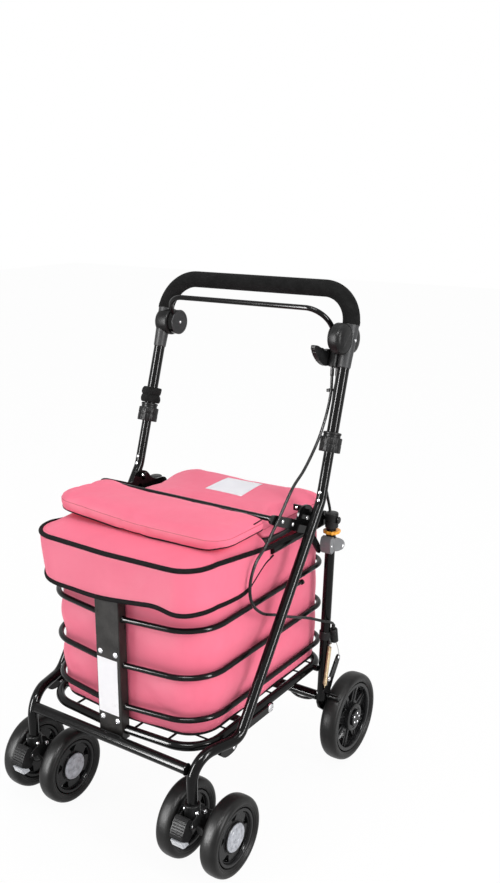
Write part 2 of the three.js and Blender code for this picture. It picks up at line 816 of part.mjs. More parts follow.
function pad(shape, bottom, thickness, crown, roll) {
  const ring = (inset, z) => plan(drawnIn(shape, inset), () => z);
  const step = roll * rollShare;
  const rings = [
    ring(roll, bottom),
    ring(step, bottom + step),
    ring(0, bottom + thickness / 2),
    ring(step, bottom + thickness - step),
  ];
  const depth = Math.min(shape.halfWidth, (shape.back - shape.front) / 2) * crownReachShare;
  for (let i = 0; i < crownRings; i++) {
    const share = i / crownRings;
    const rise = crown * (1 - (1 - share) ** 2);
    rings.push(ring(THREE.MathUtils.lerp(roll, depth, share), bottom + thickness + rise));
  }
  return loft(rings);
}

const padRoll = 7;
const flapThickness = 24;
const flapCrown = 4;
const flapBottomZ = hoopFrontZ + hoopRadius + hoopGap + bagWall + yokeRise + clearance;
const flapOverhang = 12;
const flapFrontY = 66;
const flapShape = {
  halfWidth: basketHalfWidth + flapOverhang,
  front: flapFrontY,
  bow: 0,
  back: hingeBarY - hingeBarRadius - clearance,
  frontCorner: 40,
  backCorner: 12,
};
add("flap", pad(flapShape, flapBottomZ, flapThickness, flapCrown, padRoll), finishes.vinyl);

const seatBoardThickness = 7;
const seatPadThickness = 24;
const seatCrown = 5;
const boardLip = 1.5;
const seatPadInset = 6;
const seatBottomZ = seatFrameZ + seatFrameRadius + clearance;
const seatShape = {
  halfWidth: basketHalfWidth - seatPadInset,
  front: seatPivotY,
  bow: 0,
  back: seatBackY,
  frontCorner: 14,
  backCorner: 34,
};
const boardSetIn = 6;
const boardShape = { ...seatShape, halfWidth: seatShape.halfWidth + boardLip, back: seatBackY - boardSetIn };
const seatBoard = loft([
  plan(boardShape, () => seatBottomZ),
  plan(boardShape, () => seatBottomZ + seatBoardThickness),
]);
add("seat_board", seatBoard, finishes.board);
const padBottomZ = seatBottomZ + seatBoardThickness + clearance;
add("seat_pad", pad(seatShape, padBottomZ, seatPadThickness, seatCrown, padRoll), finishes.vinyl);

// Handle: a U of tube, bored at both ends to slide on the uprights
function handlePath(from) {
  const corners = [
    onUpright(from),
    onUpright(handleEnd),
    onUpright(handleEnd, 0, -frameHalfWidth),
    onUpright(from, 0, -frameHalfWidth),
  ];
  return bentPath(corners, [handleBend], gripBendSteps);
}

let handleTube = tube(handlePath(handleStart), handleTubeRadius, tubeSides);
for (const side of [-1, 1]) {
  const x = side * frameHalfWidth;
  const low = onUpright(handleStart - overrun, 0, x);
  handleTube = cut(handleTube, drill(low, onUpright(boreEndAlong, 0, x), tubeRadius));
}
add("handle_tube", handleTube, finishes.blackPaint);

const gripHole = tube(handlePath(gripEnds - overrun), handleTubeRadius + clearance, tubeSides);
add("foam_grip", cut(tube(handlePath(gripEnds), gripRadius, tubeSides), gripHole), finishes.foam);

// Height collars: ribbed rings round the foot of the handle tube that twist to clamp it
const collarStart = 92;
const collarTop = 120;
const collarNeckTop = 128;
const collarRadius = 20;
const collarNeckRadius = 16;
const collarRibs = 8;
const ribDepth = 1.4;

function ribbedRod(from, to, radius, ribs) {
  const section = polygon(radius, ribs * 2).map((p, i) => p.multiplyScalar(i % 2 ? 1 - ribDepth / radius : 1));
  return sweep(bentPath([from, to], [], 1), section);
}

function collar(side) {
  const x = side * frameHalfWidth;
  const ring = ribbedRod(onUpright(collarStart, 0, x), onUpright(collarTop, 0, x), collarRadius, collarRibs);
  const neckFoot = onUpright(collarTop - overrun, 0, x);
  const neck = rod(neckFoot, onUpright(collarNeckTop, 0, x), collarNeckRadius, roundSides);
  const low = onUpright(collarStart - overrun, 0, x);
  const step = onUpright(handleStart - clearance, 0, x);
  const high = onUpright(collarNeckTop + overrun, 0, x);
  return cut(join(ring, neck), drill(low, high, tubeRadius), drill(step, high, handleTubeRadius));
}
addPair("collar", collar, finishes.blackPlastic);

// Strap wound round the handle tube above the left collar
const strapStart = 130;
const strapTop = 162;
const strapRadius = 17;
const strapBulge = 20;

function strap() {
  const x = -frameHalfWidth;
  const middle = (strapStart + strapTop) / 2;
  const lower = rod(onUpright(strapStart, 0, x), onUpright(middle, 0, x), strapRadius, roundSides, strapBulge);
  const upper = rod(onUpright(middle, 0, x), onUpright(strapTop, 0, x), strapBulge, roundSides, strapRadius);
  const low = onUpright(strapStart - overrun, 0, x);
  const high = onUpright(strapTop + overrun, 0, x);
  return cut(join(lower, upper), drill(low, high, handleTubeRadius));
}
add("collar_strap", strap(), finishes.webbing);

// Brake housings: a sleeve on the handle tube, a drum on its inner side, and a cover on a pin
// that traps the hub of the brake bar; the right one also holds both cable outlets and the
// pin of the parking lever
const sleeveDrop = 144;
const sleeveStart = handleEnd - sleeveDrop;
const sleeveRadius = 15.5;
const sleeveFootRadius = 14;
const drumRadius = 25;
const drumInset = 21.5;
const drumReach = 6;
const hubGap = 11.6;
const coverThickness = 3;
const hubPinRadius = 8;
const hubSpace = 1;
const screwRadius = 3;
const screwHead = 1.4;
const pivot = onUpright(pivotAlong, pivotBehind);
const drumFace = frameHalfWidth - drumInset;
const coverFace = drumFace - hubGap;
const coverOuter = coverFace - coverThickness;
const outletInset = 19;
const outletX = frameHalfWidth - outletInset;
const outletRadius = 8;
const outletsBehind = [-8, 15];
const outletWebBehind = 3.5;
const outletDrop = 145;
const outletStart = handleEnd - outletDrop;
const parkDrop = 34.5;
const parkForward = 0.2;
const parkPivot = onUpright(pivotAlong - parkDrop, -parkForward);
const parkPinRadius = 3;
const parkInset = 1.4;
const parkThickness = 9.7;
const parkInner = coverOuter - parkInset;
const parkOuter = parkInner + parkThickness;

function housing(side) {
  const span = [onUpright(sleeveStart), onUpright(gripEnds - clearance)].map((p) => mirrored(p, side));
  const sleeve = rod(span[0], span[1], sleeveFootRadius, roundSides, sleeveRadius);
  const axle = (from, to, radius, sides) =>
    rod(at(side * from, pivot.y, pivot.z), at(side * to, pivot.y, pivot.z), radius, sides);
  let body = join(sleeve, axle(frameHalfWidth - drumReach, drumFace, drumRadius, roundSides));
  if (side > 0) {
    const outletTop = pivotAlong - drumRadius / 2;
    for (const behind of [...outletsBehind, outletWebBehind]) {
      const foot = onUpright(outletStart, behind, outletX);
      body = join(body, rod(foot, onUpright(outletTop, behind, outletX), outletRadius, tubeSides));
    }
  }
  const hole = tube(handlePath(sleeveStart - overrun), handleTubeRadius + clearance, tubeSides);
  body = cut(body, hole, axle(drumFace, coverOuter - overrun, drumRadius + hubSpace, roundSides));
  const screwSpread = hubPinRadius / 2;
  body = join(body, axle(drumFace + overrun, coverFace - coverThickness / 2, hubPinRadius, roundSides));
  body = join(body, axle(coverFace, coverOuter, drumRadius, roundSides));
  for (const rise of side > 0 ? [-screwSpread, screwSpread] : [0]) {
    const seat = at(side * coverFace, pivot.y, pivot.z + rise);
    const face = at(side * (coverOuter - screwHead), pivot.y, pivot.z + rise);
    body = join(body, rod(seat, face, screwRadius, rodSides));
  }
  if (side > 0) {
    const from = at(outletX, parkPivot.y, parkPivot.z);
    body = join(body, rod(from, at(parkInner - screwHead, parkPivot.y, parkPivot.z), parkPinRadius));
  }
  return body;
}
addPair("brake_housing", housing, finishes.greyPlastic);

// Parking lever: a claw under the right end of the brake bar. Corners are [y, z] from its pin.
const clawCorners = [
  [-64, 27], [-58, 10], [-45, -4], [-26, -16], [-8, -18], [6, -12], [10, 0],
  [2, 10], [-10, 14], [-24, 11], [-30, 18], [-40, 20], [-52, 26],
];
const clawOutline = clawCorners.map(([y, z]) => [parkPivot.y + y, parkPivot.z + z]);
const clawHole = drill(
  at(parkInner - overrun, parkPivot.y, parkPivot.z),
  at(parkOuter + overrun, parkPivot.y, parkPivot.z),
  parkPinRadius,
);
add("park_lever", cut(plate(clawOutline, parkInner, parkOuter), clawHole), finishes.blackPlastic);

// Brake bar: a rod across under the grip with a hub at each end on the housing pins
const brakeBarRadius = 5;
const brakeBarDrop = 47.5;
const brakeBarForward = 48.4;
const brakeBarInset = 36;
const brakeBarReach = frameHalfWidth - brakeBarInset;
const brakeBarBend = 42;

function brakeBar() {
  const hubX = drumFace - hubGap / 2;
  const corner = onUpright(handleEnd - brakeBarDrop, -brakeBarForward, brakeBarReach);
  const half = [at(hubX, pivot.y, pivot.z), corner];
  const corners = [...half, ...[...half].reverse().map((p) => mirrored(p, -1))];
  let bar = tube(bentPath(corners, [brakeBarBend], tubeBendSteps), brakeBarRadius, rodSides);
  for (const side of [-1, 1]) {
    const inner = at(side * (coverFace + clearance), pivot.y, pivot.z);
    const outer = at(side * (drumFace - clearance), pivot.y, pivot.z);
    bar = join(bar, rod(inner, outer, drumRadius, roundSides));
  }
  for (const side of [-1, 1]) {
    const coverSide = at(side * (coverOuter - overrun * 2), pivot.y, pivot.z);
    const coverEdge = at(side * (coverFace + clearance), pivot.y, pivot.z);
    const drumSide = at(side * (drumFace + overrun), pivot.y, pivot.z);
    const drumEdge = at(side * (drumFace - clearance), pivot.y, pivot.z);
    bar = cut(
      bar,
      drill(coverSide, drumSide, hubPinRadius),
      rod(coverSide, coverEdge, drumRadius + overrun, roundSides),
      rod(drumEdge, drumSide, drumRadius + overrun, roundSides),
    );
  }
  return bar;
}
add("brake_bar", brakeBar(), finishes.blackPaint);

// Rear legs: a tube each side below a cap on the pivot pin, with a plate and an axle for the
// rear wheel and a pin for the brake arm
const legTopZ = 515;
const legFootZ = 150;
const wheelPlateOutline = [
  [380, 172], [398, 174], [414, 152], [468, 104], [474, 90], [468, 76], [450, 74],
  [404, 116], [380, 136],
];
const wheelPlateInset = 7;
const wheelPlateThickness = 5;
const wheelPlateInner = rearFootHalfWidth - wheelPlateInset;
const wheelPlateOuter = wheelPlateInner + wheelPlateThickness;
const axleReach = 10;
const axleEndX = rearWheelX + axleReach;
const axleCollarRadius = 9;
const axleCollarHeight = 2.5;
const axleCollarX = wheelPlateOuter + axleCollarHeight;
const armPivotY = 391;
const armPivotZ = 197;
const armOffset = 11.6;
const armThickness = 4;
const armInner = rearFootHalfWidth + armOffset;
const armOuter = armInner + armThickness;
const armPinRadius = 3;
const armPinHeadRadius = 5;

function rearLeg(side) {
  const point = (x, y, z) => at(side * x, y, z);
  const leg = rod(onLeg(legFootZ, side), onLeg(legTopZ, side), tubeRadius, tubeSides);
  const bracket = plate(wheelPlateOutline, side * wheelPlateInner, side * wheelPlateOuter);
  const axle = rod(
    point(wheelPlateInner, rearAxleY, rearWheelRadius),
    point(axleEndX, rearAxleY, rearWheelRadius),
    axleRadius,
  );
  const shoulder = rod(
    point(wheelPlateInner, rearAxleY, rearWheelRadius),
    point(axleCollarX, rearAxleY, rearWheelRadius),
    axleCollarRadius,
    roundSides,
  );
  const headSeat = armOuter + clearance;
  const pin = rod(
    onLeg(armPivotZ, side).setY(armPivotY),
    point(headSeat + rivetHead, armPivotY, armPivotZ),
    armPinRadius,
  );
  const head = rod(
    point(headSeat, armPivotY, armPivotZ),
    point(headSeat + rivetHead, armPivotY, armPivotZ),
    armPinHeadRadius,
    rodSides,
    armPinHeadRadius / 2,
  );
  return join(leg, bracket, axle, shoulder, pin, head);
}
addPair("rear_leg", rearLeg, finishes.blackPaint);

const rearCrossEnd = rearFootHalfWidth - tubeRadius - clearance;
const rearCrossTube = rod(
  at(-rearCrossEnd, rearFootY, rearFootZ),
  at(rearCrossEnd, rearFootY, rearFootZ),
  tubeRadius,
  tubeSides,
);
add("rear_cross_tube", rearCrossTube, finishes.blackPaint);

// Cap on top of each rear leg: the pivot pin passes through it
const capBottomZ = 511;
const capTopZ = 541;
const capEdge = 3;

function rearCap(side) {
  const foot = at(side * rearPivotHalfWidth, rearPivotY, capBottomZ);
  const shoulder = at(foot.x, rearPivotY, capTopZ - capEdge);
  const top = at(foot.x, rearPivotY, capTopZ);
  const body = join(
    rod(foot, shoulder, capRadius, roundSides),
    rod(shoulder, top, capRadius, roundSides, capRadius - capEdge),
  );
  const socket = drill(onLeg(capBottomZ - overrun, side), onLeg(legTopZ + clearance, side), tubeRadius);
  const reach = side * capRadius * 2;
  const pinHole = drill(
    at(foot.x - reach, rearPivotY, rearPivotZ),
    at(foot.x + reach, rearPivotY, rearPivotZ),
    pivotPinRadius,
  );
  return cut(body, socket, pinHole);
}
addPair("rear_cap", rearCap, finishes.blackPlastic);

// Fold latch on each rear leg: a grey clip body and an orange release ring above it.
// Corners are [y, z].
const clipOutline = [
  [374, 494], [398, 497], [416, 496], [441, 486], [441, 462], [404, 457], [376, 461],
];
const clipHalfWidth = 12.5;
const clipBottomZ = 455;
const clipTopZ = 500;
const clipRivet = [432, 470];
const releaseLowZ = 498.5;
const releaseHighZ = 505.5;
const releaseHalfWidth = 13;
const releaseFrontY = 376;
const releaseBackY = 431;
const releaseCorner = 12;

const legHole = (lowZ, highZ, side) =>
  drill(onLeg(lowZ - overrun, side), onLeg(highZ + overrun, side), tubeRadius);

function latchClip(side) {
  const x = onLeg(clipBottomZ, side).x;
  const clip = plate(clipOutline, x - clipHalfWidth, x + clipHalfWidth);
  const [y, z] = clipRivet;
  const face = side * (Math.abs(x) + clipHalfWidth + rivetHead);
  const rivet = rod(at(x, y, z), at(face, y, z), armPinHeadRadius, rodSides, armPinHeadRadius / 2);
  return join(cut(clip, legHole(clipBottomZ, clipTopZ, side)), rivet);
}
addPair("latch_clip", latchClip, finishes.clip);

function latchRelease(side) {
  const shape = {
    halfWidth: releaseHalfWidth,
    front: releaseFrontY,
    bow: 0,
    back: releaseBackY,
    frontCorner: releaseCorner,
    backCorner: releaseCorner,
  };
  const x = onLeg(releaseLowZ, side).x;
  const ring = (z) => plan(shape, () => z).map((p) => p.add(at(x, 0, 0)));
  return cut(loft([ring(releaseLowZ), ring(releaseHighZ)]), legHole(releaseLowZ, releaseHighZ, side));
}
addPair("latch_release", latchRelease, finishes.orange);

// Cable clamp on each rear leg: a sleeve with a barrel on its outer side for the cable's end
// and a lug for the top of the brake spring
const clampLowZ = 274;
const clampHighZ = 303;
const clampRadius = 14;
const barrelOffset = 18;
const barrelX = rearFootHalfWidth + barrelOffset;
const barrelFoot = [403, 275];
const barrelTop = [398, 303];
const barrelRadius = 8;
const lugOffset = 17;
const lugX = rearFootHalfWidth + lugOffset;
const lugY = 388;
const lugRadius = 4.5;
const lugHeight = 9;

function cableClamp(side) {
  const sleeve = rod(onLeg(clampLowZ, side), onLeg(clampHighZ, side), clampRadius, roundSides);
  const [footY1, footZ1] = barrelFoot;
  const [topY1, topZ1] = barrelTop;
  const x = side * barrelX;
  const barrel = rod(at(x, footY1, footZ1), at(x, topY1, topZ1), barrelRadius, roundSides);
  const lug = rod(at(side * lugX, lugY, clampLowZ), at(side * lugX, lugY, clampLowZ + lugHeight), lugRadius);
  return cut(join(sleeve, barrel, lug), legHole(clampLowZ, clampHighZ, side));
}
addPair("cable_clamp", cableClamp, finishes.blackPlastic);

// Brake arm on each rear leg: an eye for the brake wire, a pivot, an ear for the spring and a
// shoe across the tyre. Corners are [y, z].
const armOutline = [
  [370, 184], [380, 185], [386, 190], [420, 232], [427, 236], [434, 230], [432, 222],
  [398, 178], [397, 160], [388, 157], [384, 170], [370, 176],
];
const shoeY = 392;
const shoeZ = 161;
const shoeRadius = 4.5;
const shoeReach = 14;
const shoeOuterX = rearWheelX + shoeReach;
const eyeY = 427;
const eyeZ = 229;

function brakeArm(side) {
  const arm = plate(armOutline, side * armInner, side * armOuter);
  const shoe = rod(at(side * armInner, shoeY, shoeZ), at(side * shoeOuterX, shoeY, shoeZ), shoeRadius);
  const skin = side * ((armInner + armOuter) / 2);
  const face = side * (armOuter + rivetHead);
  const rivet = rod(at(skin, eyeY, eyeZ), at(face, eyeY, eyeZ), rivetRadius, rodSides, rivetRadius / 2);
  const hole = drill(
    at(side * (armInner - overrun), armPivotY, armPivotZ),
    at(side * (armOuter + overrun), armPivotY, armPivotZ),
    armPinRadius,
  );
  return join(cut(join(arm, shoe), hole), rivet);
}
addPair("brake_arm", brakeArm, finishes.blackPaint);

// Brake springs: one wire wound from the clamp lug down to the ear of the brake arm
const springTurns = 10;
const springStepsPerTurn = 8;
const springWireSides = 5;
const springRadius = 3.2;
const springWireRadius = 0.8;
const springLean = 3;
const springTopGap = 0.6;
const springTopZ = clampLowZ - springTopGap;
const springFootY = 375;
const springFootZ = 185.6;

function springPath(side) {
  const top = at(side * lugX, lugY, springTopZ);
  const foot = at(side * (lugX - springLean), springFootY, springFootZ);
  const axis = foot.clone().sub(top).normalize();
  const across = at(1, 0, 0).addScaledVector(axis, -axis.x).normalize();
  const third = axis.clone().cross(across);
  const straight = springRadius * 2;
  const coiled = top.distanceTo(foot) - straight * 2;
  const count = springTurns * springStepsPerTurn;
  const rim = (share) => {
    const turn = 2 * Math.PI * springTurns * share;
    const place = top.clone().addScaledVector(axis, straight + coiled * share);
    place.addScaledVector(across, springRadius * Math.cos(turn));
    return place.addScaledVector(third, springRadius * Math.sin(turn));
  };
  const places = [rim(0).addScaledVector(axis, -straight)];
  for (let i = 0; i <= count; i++) places.push(rim(i / count));
  places.push(rim(1).addScaledVector(axis, straight));
  const last = places.length - 1;
  return new StationPath(
    places.map((place, i) => {
      const heading = places[Math.min(i + 1, last)].clone().sub(places[Math.max(i - 1, 0)]);
      return { place, heading: heading.normalize() };
    }),
  );
}

// Least gap between two stretches of a spring's wire, measured between its stations.
function springGap(path) {
  let least = Infinity;
  path.stations.forEach(({ place }, i) => {
    for (let j = i + springStepsPerTurn / 2; j < path.stations.length; j++) {
      least = Math.min(least, place.distanceTo(path.stations[j].place));
    }
  });
  return least - springWireRadius * 2;
}

addPair("brake_spring", (side) => tube(springPath(side), springWireRadius, springWireSides), finishes.zinc);
console.log(`brake spring: least gap to itself ${springGap(springPath(1)).toFixed(2)} mm`);

// Brake cables: both leave the right housing; one follows the right side frame to the right
// clamp, the other runs down the right rear leg and under the cross tube to the left clamp
const cableRadius = 2.75;
const cableSides = 8;
const cableRightSteps = 32;
const cableLeftSteps = 40;

// Above the knee a point is [inset from the side tube's middle, share of the way from the knee
// to the outlets, distance behind the upright]; below it a point is [inset, y, z].
const rightUpper = [
  [19, 0.9735, -5.98], [18, 0.908, -4.01], [17, 0.8311, -1.12], [16, 0.6878, -3.53],
  [15.5, 0.4646, -18.57], [15.5, 0.2169, -52.67],
];
const rightLower = [
  [15.5, 276, 619], [15.5, 229, 573], [15.7, 188, 536], [17, 158, 512], [18, 144, 479],
  [18, 149, 445], [18, 180, 414], [18, 227, 392], [17, 275, 370], [13, 335, 345],
  [2, 366, 330], [-5, 384, 322], [-6.5, 394, 315], [-5, 397.5, 303.6],
];
const leftUpper = [
  [19, 0.9821, 20.61], [18, 0.9169, 19.43], [17, 0.8264, 11.83], [16, 0.6367, 16.21],
  [16, 0.4266, 17.98], [15.5, 0.2447, 18.59],
];
const leftDown = [
  [18, 403, 570], [20.7, 421, 530], [20.7, 423, 480], [20, 417, 430], [19, 408, 370],
  [20, 407, 290], [22, 406, 220], [25, 405.5, 182], [28, 406, 157], [40, 400, 139],
  [71, 396, 135], [106, 403, 144],
];

// Behind the rear cross tube a point is [share of the frame's half width, y, z].
const leftAcross = [[0.278, 404.5, 150], [0, 404.5, 152], [-0.463, 404.5, 152]];
const leftUp = [
  [46, 404.5, 154], [28, 406, 170], [23, 407, 210], [20, 407, 270], [17, 411, 315],
  [10, 416, 340], [2, 414, 350], [-4, 406, 343], [-6, 399, 325], [-5, 397.5, 303.6],
];
const upper = ([inset, share, behind]) => onUpright(share * outletStart, behind, frameHalfWidth - inset);
const lower = (side) => ([inset, y, z]) => at(side * (frameHalfWidth - inset), y, z);
const across = ([share, y, z]) => at(share * frameHalfWidth, y, z);
const cableRightPoints = [...rightUpper.map(upper), ...rightLower.map(lower(1))];
const cableLeftPoints = [
  ...leftUpper.map(upper),
  ...leftDown.map(lower(1)),
  ...leftAcross.map(across),
  ...leftUp.map(lower(-1)),
];
const cable = (points, steps) => tube(smoothPath(points, steps), cableRadius, cableSides);
add("brake_cable_right", cable(cableRightPoints, cableRightSteps), finishes.cable);
add("brake_cable_left", cable(cableLeftPoints, cableLeftSteps), finishes.cable);

// Wheels: a tyre on a spoked rim each, as closed profiles of [radius, distance along the axle]
const wheelFit = 0.3;
const wallShare = 0.82;
const bellyShare = 0.4;
const shoulderShare = 0.8;
const treadShare = 0.3;
const hubFaceShare = 0.7;
const hubFootShare = 0.6;

function tyreProfile(radius, half, seat) {
  const deep = radius - seat;
  return [
    [seat, -half * wallShare],
    [seat + deep * bellyShare, -half],
    [seat + deep * shoulderShare, -half * wallShare],
    [radius, -half * treadShare],
    [radius, half * treadShare],
    [seat + deep * shoulderShare, half * wallShare],
    [seat + deep * bellyShare, half],
    [seat, half * wallShare],
    [seat, -half * wallShare],
  ];
}

// A window through a rim's web: a sector with straight sides, tapered towards the hub.
function windows(centre, { count, inner, outer, innerShare, outerShare, half }) {
  const cuts = [];
  for (let i = 0; i < count; i++) {
    const middle = (2 * Math.PI * i) / count;
    const spread = Math.PI / count;
    const corner = (radius, share) => {
      const turn = middle + spread * share;
      return [centre.y + radius * Math.sin(turn), centre.z + radius * Math.cos(turn)];
    };
    const edge = [
      corner(inner, -innerShare),
      corner(outer, -outerShare),
      corner(outer, outerShare),
      corner(inner, innerShare),
    ];
    cuts.push(plate(edge, centre.x - half, centre.x + half));
  }
  return cuts;
}

const rearRimRadius = 69;
const rearRimLip = 62;
const rearHubRadius = 28;
const rearRimHalf = 14;
const rearWebHalf = 6;
const rearHubInner = 21;
const rearHubOuter = 25;
const rearWindows = {
  count: 8,
  inner: 33,
  outer: 60,
  innerShare: 0.35,
  outerShare: 0.68,
  half: rearWheelHalf,
};

function rearTyre(side) {
  const centre = at(side * rearWheelX, rearAxleY, rearWheelRadius);
  return turned(tyreProfile(rearWheelRadius, rearWheelHalf, rearRimRadius + wheelFit), centre, wheelSides);
}
addPair("rear_tyre", rearTyre, finishes.tyre);

function rearRim(side) {
  const centre = at(side * rearWheelX, rearAxleY, rearWheelRadius);
  const profile = [
    [0, rearHubOuter],
    [rearHubRadius * hubFaceShare, rearHubOuter],
    [rearHubRadius, rearHubOuter - overrun],
    [rearHubRadius, rearWebHalf],
    [rearRimLip, rearWebHalf],
    [rearRimLip, rearRimHalf],
    [rearRimRadius, rearRimHalf],
    [rearRimRadius, -rearRimHalf],
    [rearRimLip, -rearRimHalf],
    [rearRimLip, -rearWebHalf],
    [rearHubRadius, -rearWebHalf],
    [rearHubRadius * hubFootShare, -rearHubInner],
    [0, -rearHubInner],
  ].map(([radius, along]) => [radius, along * side]);
  const rim = cut(turned(profile, centre, wheelSides), ...windows(centre, rearWindows));
  const boreFoot = at(centre.x - side * (rearHubInner + overrun), centre.y, centre.z);
  const boreEnd = at(side * (axleEndX + wheelFit), centre.y, centre.z);
  return cut(rim, drill(boreFoot, boreEnd, axleRadius, rodSides));
}
addPair("rear_rim", rearRim, finishes.rim);

// Front casters: a fork turning in each side tube's stub, with a wheel on either side of it
const casterAxleY = stemY + casterTrail;
const forkHalfWidth = 10;
const forkHeadRadius = 14;
const forkHeadLowZ = 114;
const forkOutline = [
  [-22, 136], [6, 136], [16, 120], [50, 90], [56, 70], [50, 54], [34, 48], [20, 54],
  [6, 82], [-16, 108],
];
const forkBolts = [[-12, 126], [10, 118]];
const casterAxleHalf = 61;
const hubSpacerRadius = 9;
const hubSpacerReach = 27.5;
const pedalPivotY = -31;
const pedalPivotZ = 113;
const pedalPinRadius = 2.5;
const pedalHalfWidth = 13;
const boltHalf = 13;
const earInner = 13.4;
const earOuter = 16;
const earOutline = [
  [-4, 106], [-4, 124], [-14, 126], [-35, 119], [-37, 112], [-33, 106],
];

const casterX = (side) => side * frontHalfWidth;

function casterFork(side) {
  const x = casterX(side);
  const head = rod(at(x, stemY, forkHeadLowZ), at(x, stemY, stubBottomZ - clearance), forkHeadRadius, roundSides);
  const legs = plate(forkOutline, x - forkHalfWidth, x + forkHalfWidth);
  const across = (y, z, half, radius, sides) => rod(at(x - half, y, z), at(x + half, y, z), radius, sides);
  const axle = across(casterAxleY, frontWheelRadius, casterAxleHalf, axleRadius, rodSides);
  const spacer = across(casterAxleY, frontWheelRadius, hubSpacerReach, hubSpacerRadius, roundSides);
  let fork = join(head, legs, axle, spacer);
  for (const [y, z] of forkBolts) fork = join(fork, across(y, z, boltHalf, rivetRadius, rodSides));
  for (const way of [-1, 1]) fork = join(fork, plate(earOutline, x + way * earInner, x + way * earOuter));
  return join(fork, across(pedalPivotY, pedalPivotZ, earOuter, pedalPinRadius, rodSides));
}
addPair("caster_fork", casterFork, finishes.blackPlastic);

// Caster brake pedal: a ribbed tab on a pin in front of each fork. Corners are [y, z].
const pedalOutline = [
  [-26, 107], [-25.5, 117], [-34, 131], [-43, 127], [-56, 106], [-55, 97], [-38, 87], [-29, 94],
];
const pedalRibs = 4;
const pedalRibRadius = 1.2;
const ribTopY = -43.5;
const ribTopZ = 126;
const ribFootY = -55.5;
const ribFootZ = 106.5;

function casterPedal(side) {
  const x = casterX(side);
  let pedal = plate(pedalOutline, x - pedalHalfWidth, x + pedalHalfWidth);
  const ribTop = at(x, ribTopY, ribTopZ);
  const ribFoot = at(x, ribFootY, ribFootZ);
  for (let i = 0; i < pedalRibs; i++) {
    const place = ribTop.clone().lerp(ribFoot, i / (pedalRibs - 1));
    const half = at(pedalHalfWidth - rivetHead, 0, 0);
    pedal = join(pedal, rod(place.clone().sub(half), place.clone().add(half), pedalRibRadius));
  }
  const pinHole = drill(
    at(x - earOuter, pedalPivotY, pedalPivotZ),
    at(x + earOuter, pedalPivotY, pedalPivotZ),
    pedalPinRadius,
  );
  return cut(pedal, pinHole);
}
addPair("caster_pedal", casterPedal, finishes.blackPlastic);

const frontRimRadius = 50;
const frontRimLip = 45;
const frontHubRadius = 21;
const frontRimHalf = 13;
const frontWebHalf = 5;
const frontHubHalf = 17.5;
const frontWindows = {
  count: 5,
  inner: 27,
  outer: 41,
  innerShare: 0.2,
  outerShare: 0.42,
  half: frontWheelHalf,
};

function frontRim(side, out) {
  const centre = at(casterX(side) + out * frontWheelSpread, casterAxleY, frontWheelRadius);
  const profile = [
    [0, frontHubHalf],
    [frontHubRadius * hubFaceShare, frontHubHalf],
    [frontHubRadius, frontHubHalf - overrun],
    [frontHubRadius, frontWebHalf],
    [frontRimLip, frontWebHalf],
    [frontRimLip, frontRimHalf],
    [frontRimRadius, frontRimHalf],
    [frontRimRadius, -frontRimHalf],
    [frontRimLip, -frontRimHalf],
    [frontRimLip, -frontWebHalf],
    [frontHubRadius, -frontWebHalf],
    [frontHubRadius * hubFaceShare, -frontHubHalf],
    [0, -frontHubHalf],
  ].map(([radius, along]) => [radius, along * out]);
  const rim = cut(turned(profile, centre, casterWheelSides), ...windows(centre, frontWindows));
  const boreFoot = at(centre.x - out * (frontHubHalf + overrun), centre.y, centre.z);
  const boreEnd = at(casterX(side) + out * (casterAxleHalf + wheelFit), centre.y, centre.z);
  return cut(rim, drill(boreFoot, boreEnd, axleRadius, rodSides));
}

for (const [place, out] of [["outer", 1], ["inner", -1]]) {
  addPair(`front_tyre_${place}`, (side) => {
    const centre = at(casterX(side) + side * out * frontWheelSpread, casterAxleY, frontWheelRadius);
    const seat = frontRimRadius + wheelFit;
    return turned(tyreProfile(frontWheelRadius, frontWheelHalf, seat), centre, casterWheelSides);
  }, finishes.tyre);
  addPair(`front_rim_${place}`, (side) => frontRim(side, side * out), finishes.rim);
}

// The origin is moved to the middle of the footprint
const extent = new THREE.Box3().setFromObject(rollator);
rollator.position.y = -extent.getCenter(at(0, 0, 0)).y;

export default rollator;
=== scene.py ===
import math

import bpy
import numpy as np
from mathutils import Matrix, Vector
from mathutils.bvhtree import BVHTree


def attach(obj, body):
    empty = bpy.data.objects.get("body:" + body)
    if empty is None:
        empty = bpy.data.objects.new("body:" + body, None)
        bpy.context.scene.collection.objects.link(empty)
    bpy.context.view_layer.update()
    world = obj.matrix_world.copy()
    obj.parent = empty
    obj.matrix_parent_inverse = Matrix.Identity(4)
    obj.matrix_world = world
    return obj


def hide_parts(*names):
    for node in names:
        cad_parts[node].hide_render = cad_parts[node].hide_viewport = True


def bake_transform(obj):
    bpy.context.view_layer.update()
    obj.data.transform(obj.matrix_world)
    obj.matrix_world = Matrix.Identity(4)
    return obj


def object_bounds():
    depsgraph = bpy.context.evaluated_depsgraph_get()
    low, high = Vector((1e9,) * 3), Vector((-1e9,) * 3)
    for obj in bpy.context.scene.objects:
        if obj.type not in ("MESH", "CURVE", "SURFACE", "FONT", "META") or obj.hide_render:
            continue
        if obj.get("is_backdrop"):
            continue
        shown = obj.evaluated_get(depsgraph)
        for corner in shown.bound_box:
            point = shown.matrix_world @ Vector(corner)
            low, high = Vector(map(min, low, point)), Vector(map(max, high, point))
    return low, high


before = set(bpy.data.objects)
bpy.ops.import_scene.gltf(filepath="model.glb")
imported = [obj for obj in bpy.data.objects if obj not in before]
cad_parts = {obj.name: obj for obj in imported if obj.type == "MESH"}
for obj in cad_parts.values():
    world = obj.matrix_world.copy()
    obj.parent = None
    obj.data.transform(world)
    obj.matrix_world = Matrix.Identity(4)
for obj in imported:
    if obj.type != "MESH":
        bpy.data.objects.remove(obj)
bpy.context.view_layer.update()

sides = ((-1, "left"), (1, "right"))

